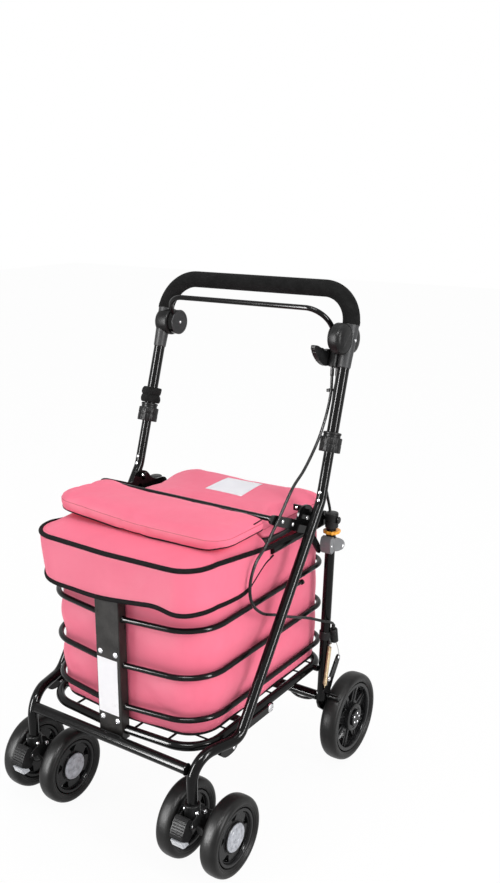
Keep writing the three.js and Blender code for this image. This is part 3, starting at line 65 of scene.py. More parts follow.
# Side tubes
# A 19 mm steel tube each side, bent cold at the knee, at the foot and over the caster, then
# powder coated gloss black. Each has two rivets on its front, a headed peg and a riveted lug.

footprint_middle = 244.5
tube_radius = 9.5
frame_half_width = 216
caster_x, caster_y = 186, -10
knee = np.array((frame_half_width, 347, 575.0))
lean = math.radians(17.6)
upright = np.array((0, math.sin(lean), math.cos(lean)))
upright_back = np.array((0, math.cos(lean), -math.sin(lean)))


def metres(points):
    """The drawing's millimetres as metres in the frame: (x, y - footprint_middle, z) / 1000."""
    return (np.asarray(points, float) - (0, footprint_middle, 0)) / 1000


def unit(rows):
    """Each row divided by its length."""
    return rows / np.linalg.norm(rows, axis=-1, keepdims=True)


def mirrored(points, side):
    """x times side, where side is -1 on the left and 1 on the right."""
    return np.asarray(points, float) * (side, 1, 1)


def on_upright(along, behind=0, x=frame_half_width):
    """knee + along upright + behind upright_back, in the plane at x."""
    return knee * (0, 1, 1) + (x, 0, 0) + along * upright + behind * upright_back


def bent(corners, bends, steps):
    """(places, headings) along straight runs whose corners are arcs. An arc of radius r starts r
    tan(turn / 2) before its corner and runs start + r (sin t before + (1 - cos t) inward)."""
    corners = np.asarray(corners, float)
    runs = unit(np.diff(corners, axis=0))
    places, headings = [corners[:1]], [runs[:1]]
    for corner, before, after, bend in zip(corners[1:-1], runs[:-1], runs[1:], bends):
        turn = math.acos(np.clip(before @ after, -1, 1))
        inward = unit(after - (after @ before) * before)
        t = np.linspace(0, turn, steps + 1)[:, None]
        start = corner - before * bend * math.tan(turn / 2)
        places.append(start + bend * (np.sin(t) * before + (1 - np.cos(t)) * inward))
        headings.append(np.cos(t) * before + np.sin(t) * inward)
    return np.vstack(places + [corners[-1:]]), np.vstack(headings + [runs[-1:]])


def angles(count):
    """Equal angles all the way round."""
    return np.linspace(0, 2 * np.pi, count, endpoint=False)


def circle(count, side, up):
    """cos t side + sin t up at equal angles t."""
    t = angles(count)[:, None]
    return np.cos(t) * side + np.sin(t) * up


def grid_faces(rows, columns, rows_close=False, columns_close=True):
    """Quads between the neighbours of a grid whose rows and columns may close into loops."""
    grid = np.arange(rows * columns).reshape(rows, columns)
    if rows_close:
        grid = np.vstack([grid, grid[:1]])
    if columns_close:
        grid = np.c_[grid, grid[:, :1]]
    return np.stack([grid[:-1, :-1], grid[:-1, 1:], grid[1:, 1:], grid[1:, :-1]], -1)


def facing_out(points, faces):
    """The faces of a closed shell, turned round where they face in: where the sum of a . (b x c)
    over the triangles that they fan into is negative."""
    fans = [rows[:, [0, i, i + 1]] for rows in faces for i in range(1, rows.shape[1] - 1)]
    a, b, c = np.moveaxis((points - points.mean(axis=0))[np.vstack(fans)], 1, 0)
    if np.sum(a * np.cross(b, c)) < 0:
        return [rows[:, ::-1] for rows in faces]
    return faces


def skin(rings, loop=False):
    """(points, faces): quads between neighbouring rings, and a face over the first and the last
    ring unless the rings close into a loop. faces is a list of arrays, one per number of corners."""
    rings = np.asarray(rings, float)
    rows, columns = rings.shape[:2]
    points = rings.reshape(-1, 3)
    faces = [grid_faces(rows, columns, loop).reshape(-1, 4)]
    if not loop:
        first = np.arange(columns)[None]
        faces += [first[:, ::-1], first + (rows - 1) * columns]
    return points, facing_out(points, faces)


def tube(path, radius, steps=20, across=(0, 0, 1), loop=False):
    """A round bar along a path. Its rings are place + radius (cos t side + sin t up), where side
    is heading x across and up is side x heading."""
    places, headings = path
    side = unit(np.cross(headings, across))
    up = np.cross(side, headings)
    radius = np.broadcast_to(radius, len(places))[:, None, None]
    return skin(places[:, None] + radius * circle(steps, side[:, None], up[:, None]), loop)


def mesh_of(name, shells):
    """One mesh of several shells, in metres."""
    points, corners, starts, count, filled = [], [], [], 0, 0
    for shell_points, faces in shells:
        points.append(metres(shell_points))
        for rows in faces:
            corners.append(rows.ravel() + count)
            starts.append(np.arange(len(rows)) * rows.shape[1] + filled)
            filled += rows.size
        count += len(shell_points)
    mesh = bpy.data.meshes.new(name)
    mesh.vertices.add(count)
    mesh.vertices.foreach_set("co", np.vstack(points).astype(np.float32).ravel())
    mesh.loops.add(filled)
    mesh.loops.foreach_set("vertex_index", np.concatenate(corners).astype(np.int32))
    starts = np.concatenate(starts).astype(np.int32)
    mesh.polygons.add(len(starts))
    mesh.polygons.foreach_set("loop_start", starts)
    mesh.update(calc_edges=True)
    mesh.validate()
    return mesh


def piece(name, shells, finish, body, slot=None, stands_for=(), sharp=34, bevel=0.0):
    """A named object of closed shells that rides on a body, or, where body is not a single name, stays
    fixed where it is made. Edges over sharp degrees stay crisp, or get a round of bevel millimetres."""
    mesh = mesh_of(name, shells)
    mesh.polygons.foreach_set("use_smooth", np.ones(len(mesh.polygons), bool))
    mesh.set_sharp_from_angle(angle=math.radians(sharp))
    mesh.materials.append(finish)
    made = bpy.data.objects.new(name, mesh)
    bpy.context.scene.collection.objects.link(made)
    if bevel:
        edge = made.modifiers.new("edge", "BEVEL")
        edge.width = bevel / 1000
        edge.segments = 3
        edge.limit_method = "ANGLE"
        edge.angle_limit = math.radians(sharp)
        edge.harden_normals = True
    if isinstance(body, str):
        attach(made, body)
    else:
        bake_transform(made)
    if len(stands_for):
        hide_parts(*np.atleast_1d(stands_for).tolist())
    return made


def cad_piece(name, shells, finish, body, slot, **more):
    """A piece that stands for the CAD node whose name is its own without the last word."""
    return piece(name, shells, finish, body, slot, name.rsplit("_", 1)[0], **more)


def lathe(profile, foot, axis, steps=40, loop=False):
    """Profile points (radius, distance) turned about an axis: foot + distance axis + radius
    (cos t side + sin t up)."""
    profile = np.asarray(profile, float)
    axis = unit(np.asarray(axis, float))
    side = unit(np.cross(axis, (0.36, 0.48, 0.8) if abs(axis[0]) > 0.9 else (1, 0, 0)))
    radius, distance = profile[:, 0, None, None], profile[:, 1, None, None]
    turned = radius * circle(steps, side, np.cross(axis, side))
    return skin(np.asarray(foot, float) + distance * axis + turned, loop)


def rod(foot, top, radius, top_radius=None, edge=0.8, steps=24):
    """A round bar from foot to top whose rims are drawn in by edge over edge."""
    foot, top = np.asarray(foot, float), np.asarray(top, float)
    length = np.linalg.norm(top - foot)
    wide = radius if top_radius is None else top_radius
    profile = [(radius - edge, 0), (radius, edge), (wide, length - edge), (wide - edge, length)]
    return lathe(profile, foot, top - foot, steps)


def crossbar(first_x, last_x, y, z, radius, **shape):
    """A rod across the rollator."""
    return rod((first_x, y, z), (last_x, y, z), radius, **shape)


def prism(outline, low, high, axis="x"):
    """A closed outline of two coordinates carried along the third axis from low to high."""
    outline = np.asarray(outline, float)
    order = {"x": (2, 0, 1), "y": (0, 2, 1), "z": (0, 1, 2)}[axis]
    rings = np.stack([np.c_[outline, np.full(len(outline), level)] for level in (low, high)])
    return skin(rings[:, :, list(order)])


def plate(outline, low_x, high_x):
    """A prism along x with each corner of its outline cut at a quarter of its two sides."""
    outline = np.asarray(outline, float)
    following = np.roll(outline, -1, axis=0)
    cut = np.stack([outline * 0.75 + following * 0.25, outline * 0.25 + following * 0.75], 1)
    return prism(cut.reshape(-1, 2), low_x, high_x)


def rivet(place, out, radius=3.6, height=1.6, pressed=0.0):
    """A domed head: radius sqrt(1 - s) wide at s height, with its middle pressed in where pressed
    is not 0."""
    s = np.linspace(0, 1, 7)
    profile = [(radius, -height)] + [(radius * math.sqrt(1 - 0.93 * v * v), height * v) for v in s]
    if pressed:
        profile += [(radius * 0.24, height * 0.9), (radius * 0.2, height - pressed)]
    return lathe(profile, place, out, 20)


def texture(tree, kind, place, scale, **values):
    """One texture node at a scale per metre, on the given coordinates."""
    made = tree.nodes.new(kind)
    tree.links.new(place, made.inputs["Vector"])
    made.inputs["Scale"].default_value = scale
    for socket, value in values.items():
        made.inputs[socket.replace("_", " ")].default_value = value
    return made


def ranged(tree, value, low, high, start=0.0, end=1.0):
    """value brought from start..end to low..high."""
    made = tree.nodes.new("ShaderNodeMapRange")
    tree.links.new(value, made.inputs["Value"])
    for socket, number in (("From Min", start), ("From Max", end), ("To Min", low), ("To Max", high)):
        made.inputs[socket].default_value = number
    return made.outputs["Result"]


def mixed(tree, share, first, second):
    """The colour that runs from first to second as share goes from 0 to 1."""
    made = tree.nodes.new("ShaderNodeMix")
    made.data_type = "RGBA"
    tree.links.new(share, made.inputs["Factor"])
    for socket, colour in (("A", first), ("B", second)):
        target = next(s for s in made.inputs if s.name == socket and s.type == "RGBA")
        if isinstance(colour, bpy.types.NodeSocket):
            tree.links.new(colour, target)
        else:
            target.default_value = (*colour, 1)
    return next(s for s in made.outputs if s.type == "RGBA")


def begun(name):
    """A new finish: (finish, its nodes, its shader, the Object coordinates)."""
    finish = bpy.data.materials.new(name)
    finish.use_nodes = True
    tree = finish.node_tree
    place = tree.nodes.new("ShaderNodeTexCoord").outputs["Object"]
    return finish, tree, tree.nodes["Principled BSDF"], place


def completed(tree, shader, bumps, sockets):
    """Bumps (output, height in metres) one on the other as the shader's normal, and its values."""
    normal = None
    for output, height in bumps:
        bump = tree.nodes.new("ShaderNodeBump")
        bump.inputs["Distance"].default_value = height
        tree.links.new(output, bump.inputs["Height"])
        if normal:
            tree.links.new(normal, bump.inputs["Normal"])
        normal = bump.outputs["Normal"]
    if normal:
        tree.links.new(normal, shader.inputs["Normal"])
    for socket, value in sockets.items():
        shader.inputs[socket.replace("_", " ")].default_value = value


def lighter(colour, times, plus):
    """Each channel times a number plus another, at most 1."""
    return tuple(min(1.0, c * times + plus) for c in colour)


def surface(name, colour, roughness, worn=None, uneven=0.05, patch=45, grain=(), edge=0.0, **sockets):
    """A finish whose colour runs into worn, and whose roughness moves by uneven, with a soft noise
    of patch per metre. Each grain (kind, scale per metre, height in metres) adds bump. edge is how
    much of a paler colour is rubbed onto the convex edges."""
    finish, tree, shader, place = begun(name)
    soft = texture(tree, "ShaderNodeTexNoise", place, patch, Detail=5, Roughness=0.6).outputs["Fac"]
    share = ranged(tree, soft, 0, 1, 0.38, 0.72)
    painted = mixed(tree, share, colour, worn or lighter(colour, 1.5, 0.004))
    if edge:
        bend = tree.nodes.new("ShaderNodeNewGeometry").outputs["Pointiness"]
        rubbed = ranged(tree, bend, 0, edge, 0.52, 0.6)
        painted = mixed(tree, rubbed, painted, lighter(colour, 3, 0.05))
    tree.links.new(painted, shader.inputs["Base Color"])
    rough = ranged(tree, soft, roughness - uneven, roughness + uneven, 0.3, 0.7)
    tree.links.new(rough, shader.inputs["Roughness"])
    bumps = ((texture(tree, kind, place, scale).outputs[0], height) for kind, scale, height in grain)
    completed(tree, shader, bumps, sockets)
    return finish


noise = "ShaderNodeTexNoise"
cells = "ShaderNodeTexVoronoi"
paint = surface(
    "gloss_black_powder_coat", (0.004, 0.0038, 0.004), 0.13, (0.005, 0.005, 0.005), uneven=0.02, patch=60,
    grain=((noise, 700, 0.00002), (noise, 2600, 0.00001)), Specular_IOR_Level=0.15,
)
bright_steel = surface(
    "bright_zinc", (0.72, 0.72, 0.73), 0.26, (0.5, 0.5, 0.52), uneven=0.1, patch=400,
    grain=((noise, 1800, 0.00006),), Metallic=1.0,
)

tube_foot = np.array((212, 90, 219.0))
bends = (60, 32, 44)
side_corners = [
    on_upright(222), knee, tube_foot, (caster_x, caster_y, 222), (caster_x, caster_y, 141),
]
lug_outline = [(40, 216), (46, 204), (58, 197), (78, 197), (90, 202), (94, 212), (90, 218)]
lug_inner, lug_outer = 200, 208
peg_x, peg_z = 214, 438
for side, word in sides:
    path = bent(mirrored(side_corners, side), bends, 22)
    shells = [tube(path, tube_radius, 32, (1, 0, 0))]
    for start, end, radius in ((246, 289, 2.8), (285, 290, 5)):
        shells.append(rod((side * peg_x, start, peg_z), (side * peg_x, end, peg_z), radius))
    shells.append(plate(lug_outline, side * lug_inner, side * lug_outer))
    cad_piece(f"side_tube_{word}_steel", shells, paint, "frame", "black_paint")
    heads = [
        rivet(on_upright(along, 0.4 - tube_radius, side * frame_half_width), -upright_back, 3.2, 1.5)
        for along in (2, 17)
    ]
    heads += [
        rivet((side * (x + 0.1 * way), 80, 205), (side * way, 0, 0), 3.4, 1.6)
        for x, way in ((lug_inner, -1), (lug_outer, 1))
    ]
    piece(f"side_tube_{word}_rivets", heads, bright_steel, "frame", "zinc")

# Front cross tube
# A length of the same tube welded between the side tubes, just above the casters, with a
# bead of weld round each end.

cross_z = 200
cross_half = caster_x - tube_radius
weld = tube_radius + 1.1
shells = [crossbar(-cross_half, cross_half, caster_y, cross_z, tube_radius, edge=0.2, steps=32)]
for side in (-1, 1):
    bead = [(tube_radius, -1), (weld, -0.2), (weld, 1.2), (tube_radius, 2.4)]
    shells.append(lathe(bead, (side * (cross_half - 0.6), caster_y, cross_z), (-side, 0, 0), 32))
cad_piece("front_cross_tube_steel", shells, paint, "frame", "black_paint")

# Front channel
# Pressed steel channel, open to the back, welded behind the cross tube and black like it. Four
# blind rivets hold the channel and a bare white plate of thin plastic lies between them.

channel_front = -0.2
channel_half = 26.7
channel_low, channel_high = 194, 505
wall = 3
back = channel_front + 20
section = [
    (-channel_half, channel_front), (channel_half, channel_front), (channel_half, back),
    (channel_half - wall, back), (channel_half - wall, channel_front + wall),
    (wall - channel_half, channel_front + wall), (wall - channel_half, back), (-channel_half, back),
]
channel_paint = surface(
    "satin_black_channel", (0.016, 0.0145, 0.0135), 0.34, (0.026, 0.023, 0.021), uneven=0.08, patch=38,
    grain=((noise, 700, 0.00015), (noise, 150, 0.0003)), Specular_IOR_Level=0.22,
)
channel = prism(section, channel_low, channel_high, "z")
cad_piece("front_channel_steel", [channel], channel_paint, "frame", "black_paint", bevel=1.6)
heads = [
    rivet((x, channel_front - 0.2, z), (0, -1, 0), 5.2, 1.9, pressed=1.5)
    for x in (-17, 17) for z in (230.5, 357)
]
piece("front_channel_rivets", heads, bright_steel, "frame", "zinc")
label = surface(
    "bare_white_label", (0.93, 0.92, 0.94), 0.34, (0.88, 0.87, 0.9), uneven=0.08, patch=30,
    grain=((noise, 300, 0.00005),),
)
plate_outline = [(-24.6, 241), (20.6, 241), (20.6, 346), (-24.6, 346)]
bare_plate = prism(plate_outline, channel_front - 0.75, channel_front - 0.05, "y")
piece("front_plate_bare", [bare_plate], label, "frame", bevel=0.3)

# Basket rods
# Three 10 mm rods bent round the bag from one side of the channel to the other and welded to
# it, in the same black coat.

basket_half = 178
channel_end = channel_half + 0.3
ring_front, ring_bow = 7, 25


def both_ways(half):
    """A half of a path and its mirror image, from right to left."""
    return half + [(-x, y, z) for x, y, z in half[::-1]]


def basket_path(front, bow, back, front_bend, z):
    """From the channel's right side round the basket to its left side; the front runs on the line
    front + bow x / basket_half."""
    welded_end = (channel_end, front + bow * channel_end / basket_half, z)
    half = [welded_end, (basket_half, front + bow, z), (basket_half, back, z)]
    return bent(both_ways(half), (front_bend, 45, 45, front_bend), 20)


for name, z in (("ring_upper", 423), ("ring_middle", 337), ("ring_lower", 258)):
    ring = basket_path(ring_front, ring_bow, back=446, front_bend=75, z=z)
    shells = [tube(ring, 5)]
    for side in (-1, 1):
        place = (side * (channel_half + 0.4), ring_front + ring_bow * channel_end / basket_half, z)
        shells.append(lathe([(5, -1), (6.2, 0.2), (6.2, 1), (4.9, 3)], place, (side, 0.14, 0), 20))
    cad_piece(f"{name}_steel", shells, paint, "frame", "black_paint")

# Basket floor
# A thicker loop of rod with wires and two flat bars welded across it, a folded rail with a
# bolt under each side, and a short stub each side that the rear legs rest against.

floor_z = 213
floor_bow = 12
wire_front, wire_back, wire_radius = 12, 434, 2.2
floor_loop = basket_path(10, floor_bow, back=436, front_bend=65, z=floor_z)
shells = [tube(floor_loop, 8, 24)]
for share in (0.2, 0.4, 0.6, 0.8):
    x = basket_half * (2 * share - 1)
    front = (x, wire_front + floor_bow * abs(x) / basket_half, floor_z)
    shells.append(rod(front, (x, wire_back, floor_z), wire_radius, edge=0.3, steps=12))
for y in (60, 105, 205, 253, 350, 395):
    shells.append(crossbar(-176, 176, y, floor_z + 4, 1.7, edge=0.2, steps=10))
cad_piece("basket_floor_wires", shells, paint, "frame", "black_paint")
shells = []
for y in (152, 294):
    flat_bar = [(y + dy, floor_z + dz) for dy, dz in ((-9, -4), (9, -4), (9, -1), (-9, -1))]
    shells.append(prism(flat_bar, -basket_half, basket_half))
for side in (-1, 1):
    outline = [(83, 201), (90, 199), (224, 199), (231, 203), (231, 213), (83, 213)]
    shells.append(prism(outline, side * 182, side * 191))
    shells.append(crossbar(side * basket_half, side * 193.5, 390, floor_z, 6))
piece("basket_floor_rails", shells, paint, "frame", "black_paint", bevel=0.9)
bolts = [rivet((side * 191, 222, 206.5), (side, 0, 0), 8.2, 2.6, pressed=2) for side in (-1, 1)]
piece("basket_floor_bolts", bolts, bright_steel, "frame", "zinc")

# Seat frame, rim hoop and hinge bar
# A U of 14 mm tube carries the seat board; an 8 mm rod runs forward from it round the bag's
# rim; a 10 mm bar lies between flap and seat. All are bent steel, coated gloss black.

seat_frame = bent(both_ways([(185, 230, 511), (185, 436, 511)]), (30, 30), 16)
cad_piece("seat_frame_steel", [tube(seat_frame, 7, 24)], paint, "frame", "black_paint")
hoop_half = [(180, 229, 514), (180, 62, 536), (180, 11.2, 536)]
hoop = bent(hoop_half + [(0, 3.2, 536)] + both_ways(hoop_half)[3:], (30, 50, 50, 50, 30), 16)
cad_piece("rim_hoop_steel", [tube(hoop, 4, 18)], paint, "frame", "black_paint")
bar = [crossbar(-193, 193, 216, 576, 5, edge=0.6)]
cad_piece("hinge_bar_steel", bar, paint, "frame", "black_paint")

# Seat brackets
# A 4 mm pressed plate each side with one long arm forward to the hinge bar and a lobe back to the
# pivot of the rear legs. Spacers hold it off the side tube and a strap ties it to the bag's rim.

bracket_face = 197.2
pivot_y, pivot_z = 396, 527
bracket_outline = [
    (396, 514), (406, 519), (409, 528), (405, 537), (396, 541), (372, 542), (358, 549), (350, 560),
    (342, 567), (330, 571), (312, 571), (304, 564), (300, 550), (272, 562), (244, 573), (222, 582),
    (210, 582), (206, 575), (212, 566), (250, 550), (292, 531), (322, 517), (345, 511), (372, 512),
]
hook_outline = [(336, 514), (352, 514), (384, 474), (388, 464), (381, 459), (374, 463)]
for side, word in sides:
    inner, outer = side * (bracket_face - 4), side * bracket_face
    shells = [plate(outline, inner, outer) for outline in (bracket_outline, hook_outline)]
    for below in (24, 44):
        along_tube = knee + unit(tube_foot - knee) * below
        reach = along_tube * (side, 1, 1) - (side * (tube_radius - 1), 0, 0)
        shells.append(rod((inner, *along_tube[1:]), reach, 6, edge=0.3))
    strap = [(318, 560), (322, 560), (322, 571), (318, 571)]
    shells.append(prism(strap, side * 175.5, side * (bracket_face - 2)))
    pin_end = side * 226.8
    shells.append(crossbar(inner, pin_end, pivot_y, pivot_z, 4))
    shells.append(crossbar(pin_end, pin_end + side * 2.5, pivot_y, pivot_z, 7, edge=1))
    cad_piece(f"seat_bracket_{word}_steel", shells, paint, "frame", "black_paint", bevel=0.8)
    heads = [rivet((outer, y, z), (side, 0, 0), 3.8, 1.9) for y, z in ((248, 562), (282, 547), (331, 545))]
    heads.append(rivet((side * 182.5, 318, 565.5), (0, -1, 0), 3.2, 1.6))
    piece(f"seat_bracket_{word}_rivets", heads, bright_steel, "frame", "zinc")

# Rear legs
# A tube each side below a moulded cap on the pivot pin, with a plate and an axle for the rear
# wheel, joined by a cross tube low down.

leg_x, leg_y, leg_z = 203, 389, 155
cap_x = 213


def on_leg(z, side):
    """The leg's axis runs straight from (leg_x, leg_y, leg_z) to (cap_x, pivot_y, pivot_z)."""
    x = leg_x + (z - leg_z) * (cap_x - leg_x) / (pivot_z - leg_z)
    y = leg_y + (z - leg_z) * (pivot_y - leg_y) / (pivot_z - leg_z)
    return np.array((side * x, y, z))


wheel_x, axle_y, wheel_radius = 226, 457, 88.7
plate_inner, plate_outer = 196, 201
pin_y, pin_z = 391, 197
wheel_plate = [
    (380, 172), (398, 174), (414, 152), (468, 104), (474, 90), (468, 76), (450, 74), (404, 116),
    (380, 136),
]
for side, word in sides:
    shells = [rod(on_leg(150, side), on_leg(515, side), tube_radius, edge=0.6, steps=32)]
    shells.append(plate(wheel_plate, side * plate_inner, side * plate_outer))
    shells.append(crossbar(side * plate_inner, side * 236, axle_y, wheel_radius, 5))
    shells.append(crossbar(side * plate_inner, side * 203.5, axle_y, wheel_radius, 9))
    shells.append(crossbar(side * 206, side * 220, pin_y, pin_z, 3))
    cad_piece(f"rear_leg_{word}_steel", shells, paint, "rear_frame", "black_paint", bevel=0.5)
    heads = [rivet((side * 218.9, pin_y, pin_z), (side, 0, 0), 4.6, 1.8)]
    heads.append(rivet(on_leg(228, side) + (side * 9.2, -1.5, 0), (side, -0.1, 0), 2.8, 1.4))
    piece(f"rear_leg_{word}_rivets", heads, bright_steel, "rear_frame", "zinc")
rear_half = leg_x - tube_radius + 0.3
cross_tube = crossbar(-rear_half, rear_half, leg_y, leg_z, tube_radius, edge=0.2, steps=32)
cad_piece("rear_cross_tube_steel", [cross_tube], paint, "rear_frame", "black_paint")

# Rear caps, fold latches and their releases
# A moulded black cap on top of each rear leg, a mid-grey latch body under it and, between them, an
# orange ring that is lifted to fold the legs. All are injection moulded nylon.

moulded = surface(
    "moulded_black_nylon", (0.007, 0.007, 0.0072), 0.36, uneven=0.07, patch=50,
    grain=((noise, 1500, 0.00006), (cells, 2200, 0.00003)), edge=0.3, Specular_IOR_Level=0.12,
)
clip_grey = surface(
    "mid_grey_nylon", (0.13, 0.132, 0.138), 0.4, (0.16, 0.162, 0.168), patch=60,
    grain=((noise, 1600, 0.00005),), edge=0.35, Specular_IOR_Level=0.35,
)
release_orange = surface(
    "orange_nylon", (0.87, 0.3, 0.012), 0.34, (0.92, 0.36, 0.02), patch=60,
    grain=((noise, 1600, 0.00004),), edge=0.15,
)
clip_outline = [
    (388, 489), (402, 490), (418, 483), (430, 474), (432, 464), (426, 459), (404, 461), (388, 467),
]
wrap_outline = [(374, 493), (392, 496), (394, 464), (376, 462)]


def powered(wave, power):
    """|wave| ** power with the sign of wave, which squares a circle's corners."""
    return np.sign(wave) * np.abs(wave) ** power


for side, word in sides:
    profile = [(11.8, 0), (12.6, 1), (12.6, 12), (12, 12.6), (12, 14), (12.6, 14.6), (12.6, 25)]
    profile += [(10.6 + 2 * math.cos(t), 27 + 2 * math.sin(t)) for t in np.linspace(0, 1.5, 6)]
    cap = lathe(profile, (side * cap_x, pivot_y, 511), (0, 0, 1), 36)
    cad_piece(f"rear_cap_{word}_moulded", [cap], moulded, "rear_frame", "black_plastic")
    x = on_leg(470, side)[0]
    cad_piece(
        f"latch_clip_{word}_moulded", [plate(clip_outline, x - 12, x + 12)], clip_grey, "rear_frame",
        "clip", bevel=1.4,
    )
    wrap = [plate(wrap_outline, x - 11, x + 11)]
    wrap.append(rod(on_leg(467, side), on_leg(491, side), 11.8, edge=1))
    piece(f"latch_clip_{word}_wrap", wrap, clip_grey, "rear_frame", "clip", bevel=0.8)
    heads = [rivet((x + side * 12.1, 424, 466), (side, 0, 0), 4.2, 1.8)]
    heads.append(rivet((x + side * 11.1, 382, 478), (side, 0, 0), 2.4, 1))
    piece(f"latch_clip_{word}_rivets", heads, bright_steel, "rear_frame", "zinc")
    t = angles(96)
    scallop = 1 + 0.035 * np.cos(11 * t)
    wide = powered(np.cos(t), 0.8) * 15.5 * scallop
    deep = powered(np.sin(t), 0.8) * 15 * scallop
    levels = ((499, 0.94), (499.8, 1), (504.2, 1), (505, 0.94))
    x = on_leg(500, side)[0]
    rings = [np.c_[x + wide * s, 398.5 + deep * s, np.full(96, z)] for z, s in levels]
    cad_piece(
        f"latch_release_{word}_moulded", [skin(rings)], release_orange, f"latch_release_{word}",
        "orange",
    )

# Cable clamps, brake arms and springs
# A moulded clamp on each rear leg holds the end of a brake cable. Its bare inner wire pulls the
# pressed steel arm, whose shoe meets the tyre, and a tightly wound spring draws the arm back.

spring_wire = surface(
    "yellow_zinc_spring", (0.56, 0.44, 0.27), 0.36, (0.42, 0.32, 0.2), uneven=0.1, patch=300,
    grain=((noise, 2500, 0.00004),), Metallic=0.55,
)
inner_wire = surface(
    "bare_brake_wire", (0.62, 0.61, 0.6), 0.3, (0.42, 0.41, 0.4), patch=900,
    grain=((noise, 3500, 0.00008),), Metallic=1.0,
)
arm_outline = [
    (370, 184), (380, 185), (386, 190), (420, 232), (427, 236), (434, 230), (432, 222),
    (398, 178), (397, 160), (388, 157), (384, 170), (370, 176),
]
arm_inner, arm_outer = 214.6, 218.6
arm_tip = (427, 229)


def traced(points, closed=False):
    """(places, headings) of a run of points, each heading along the line between its neighbours."""
    if closed:
        return points, unit(np.roll(points, -1, axis=0) - np.roll(points, 1, axis=0))
    return points, unit(np.gradient(points, axis=0))


def coil(foot, top, radius, wire, turns):
    """A wire wound round the line from foot to top: foot + s (top - foot) + radius (cos 2 pi turns
    s side + sin 2 pi turns s up)."""
    foot, top = np.asarray(foot, float), np.asarray(top, float)
    axis = unit(top - foot)
    side = unit(np.cross(axis, (1, 0, 0)))
    up = np.cross(axis, side)
    s = np.linspace(0, 1, turns * 12 + 1)[:, None]
    turn = 2 * np.pi * turns * s
    places = foot + s * (top - foot) + radius * (np.cos(turn) * side + np.sin(turn) * up)
    return tube(traced(places), wire, 7, axis)


for side, word in sides:
    out = (side, 0, 0)
    clamp = [rod(on_leg(281, side), on_leg(298, side), 11.6, edge=1.2, steps=36)]
    clamp.append(rod(on_leg(289, side) + (side * 8, 2, 0), (side * 217, 400, 289), 5.4, edge=0.8))
    barrel_foot, barrel_top = np.array((side * 221, 403, 275)), np.array((side * 221, 398, 303))
    barrel = [
        (7.2, 0), (8, 0.9), (8, 21), (7.6, 21.6), (8, 22.4), (8, 26.6), (7, 28.4), (5, 28.4),
        (4.4, 27.2), (3.4, 27), (0.4, 27),
    ]
    clamp.append(lathe(barrel, barrel_foot, barrel_top - barrel_foot, 30))
    clamp.append(rod((side * 220, 388, 273.5), (side * 214, 392, 287), 3.6))
    cad_piece(f"cable_clamp_{word}_moulded", clamp, moulded, "rear_frame", "black_plastic")
    arm = [plate(arm_outline, side * arm_inner, side * arm_outer)]
    arm.append(crossbar(side * arm_inner, side * 240, 392, 161, 4.5))
    cad_piece(f"brake_arm_{word}_steel", arm, paint, f"brake_arm_{word}", "black_paint", bevel=0.6)
    head = rivet((side * arm_outer, *arm_tip), out, 3.6, 1.8)
    piece(f"brake_arm_{word}_rivet", [head], bright_steel, f"brake_arm_{word}", "zinc")
    top, foot = np.array((side * 220, 388, 273.4)), np.array((side * 217, 375, 185.6))
    axis = unit(foot - top)
    wound = [coil(top + axis * 5, foot - axis * 6, 3.2, 0.8, 42)]
    for start, end in ((-1, 6), (81.5, 89)):
        wound.append(rod(top + axis * start, top + axis * end, 0.85, edge=0.2, steps=10))
    cad_piece(f"brake_spring_{word}_wound", wound, spring_wire, "rear_frame", "zinc", sharp=80)
    start, end = barrel_foot + (0, 0, 4), np.array((side * 219.6, *arm_tip))
    bow = np.sin(np.linspace(0, np.pi, 12))[:, None] * (0, 4, 0)
    places = np.linspace(start, end, 12) + bow
    wire = tube((places, np.broadcast_to(unit(end - start), places.shape)), 0.75, 8, (1, 0, 0))
    piece(f"brake_wire_{word}", [wire], inner_wire, "rear_frame", "zinc")

# Brake cables
# Two black sheathed cables run from the right housing, tied together, one to the right clamp, one
# down the right leg and along the rear cross tube to the left clamp. Each is made in an upper and a
# lower part, both fixed in place.

cable_black = surface(
    "cable_sheath", (0.007, 0.007, 0.007), 0.3, uneven=0.08, patch=90, grain=((noise, 1400, 0.00006),),
    Specular_IOR_Level=0.25,
)
cable_right = [
    (197, 414, 806), (198, 411, 790), (199, 408, 771), (200, 395, 738), (200.5, 364, 690),
    (200.5, 313, 642), (200.5, 276, 619), (200.5, 229, 573), (200.3, 188, 536), (199, 158, 512),
    (198, 144, 479), (198, 149, 445), (198, 180, 414), (198, 227, 392), (199, 275, 370),
    (203, 335, 345), (214, 366, 330), (221, 384, 322), (222.5, 394, 315), (221, 397.5, 303.6),
]
cable_left = [
    (197, 432.5, 803), (198, 429, 786), (199, 420, 766), (200, 410, 720), (200, 396, 670),
    (200.5, 383, 627), (198, 403, 570), (195.3, 421, 530), (195.3, 423, 480), (196, 417, 430),
    (197, 408, 370), (196, 407, 290), (194, 406, 220), (191, 405.5, 182), (188, 406, 157),
    (176, 400, 139), (145, 396, 135), (110, 403, 144), (60, 404.5, 150), (0, 404.5, 152),
    (-100, 404.5, 152), (-170, 404.5, 154), (-188, 406, 170), (-193, 407, 210), (-196, 407, 270),
    (-199, 411, 315), (-206, 416, 340), (-214, 414, 350), (-220, 406, 343), (-222, 399, 325),
    (-221, 397.5, 303.6),
]


def evenly(points, count, closed=False):
    """count places at equal steps of length along a run of points. One that is closed leaves out
    its last place."""
    length = np.concatenate([[0], np.cumsum(np.linalg.norm(np.diff(points, axis=0), axis=1))])
    even = np.linspace(0, length[-1], count, endpoint=not closed)
    return np.stack([np.interp(even, length, column) for column in points.T], -1)


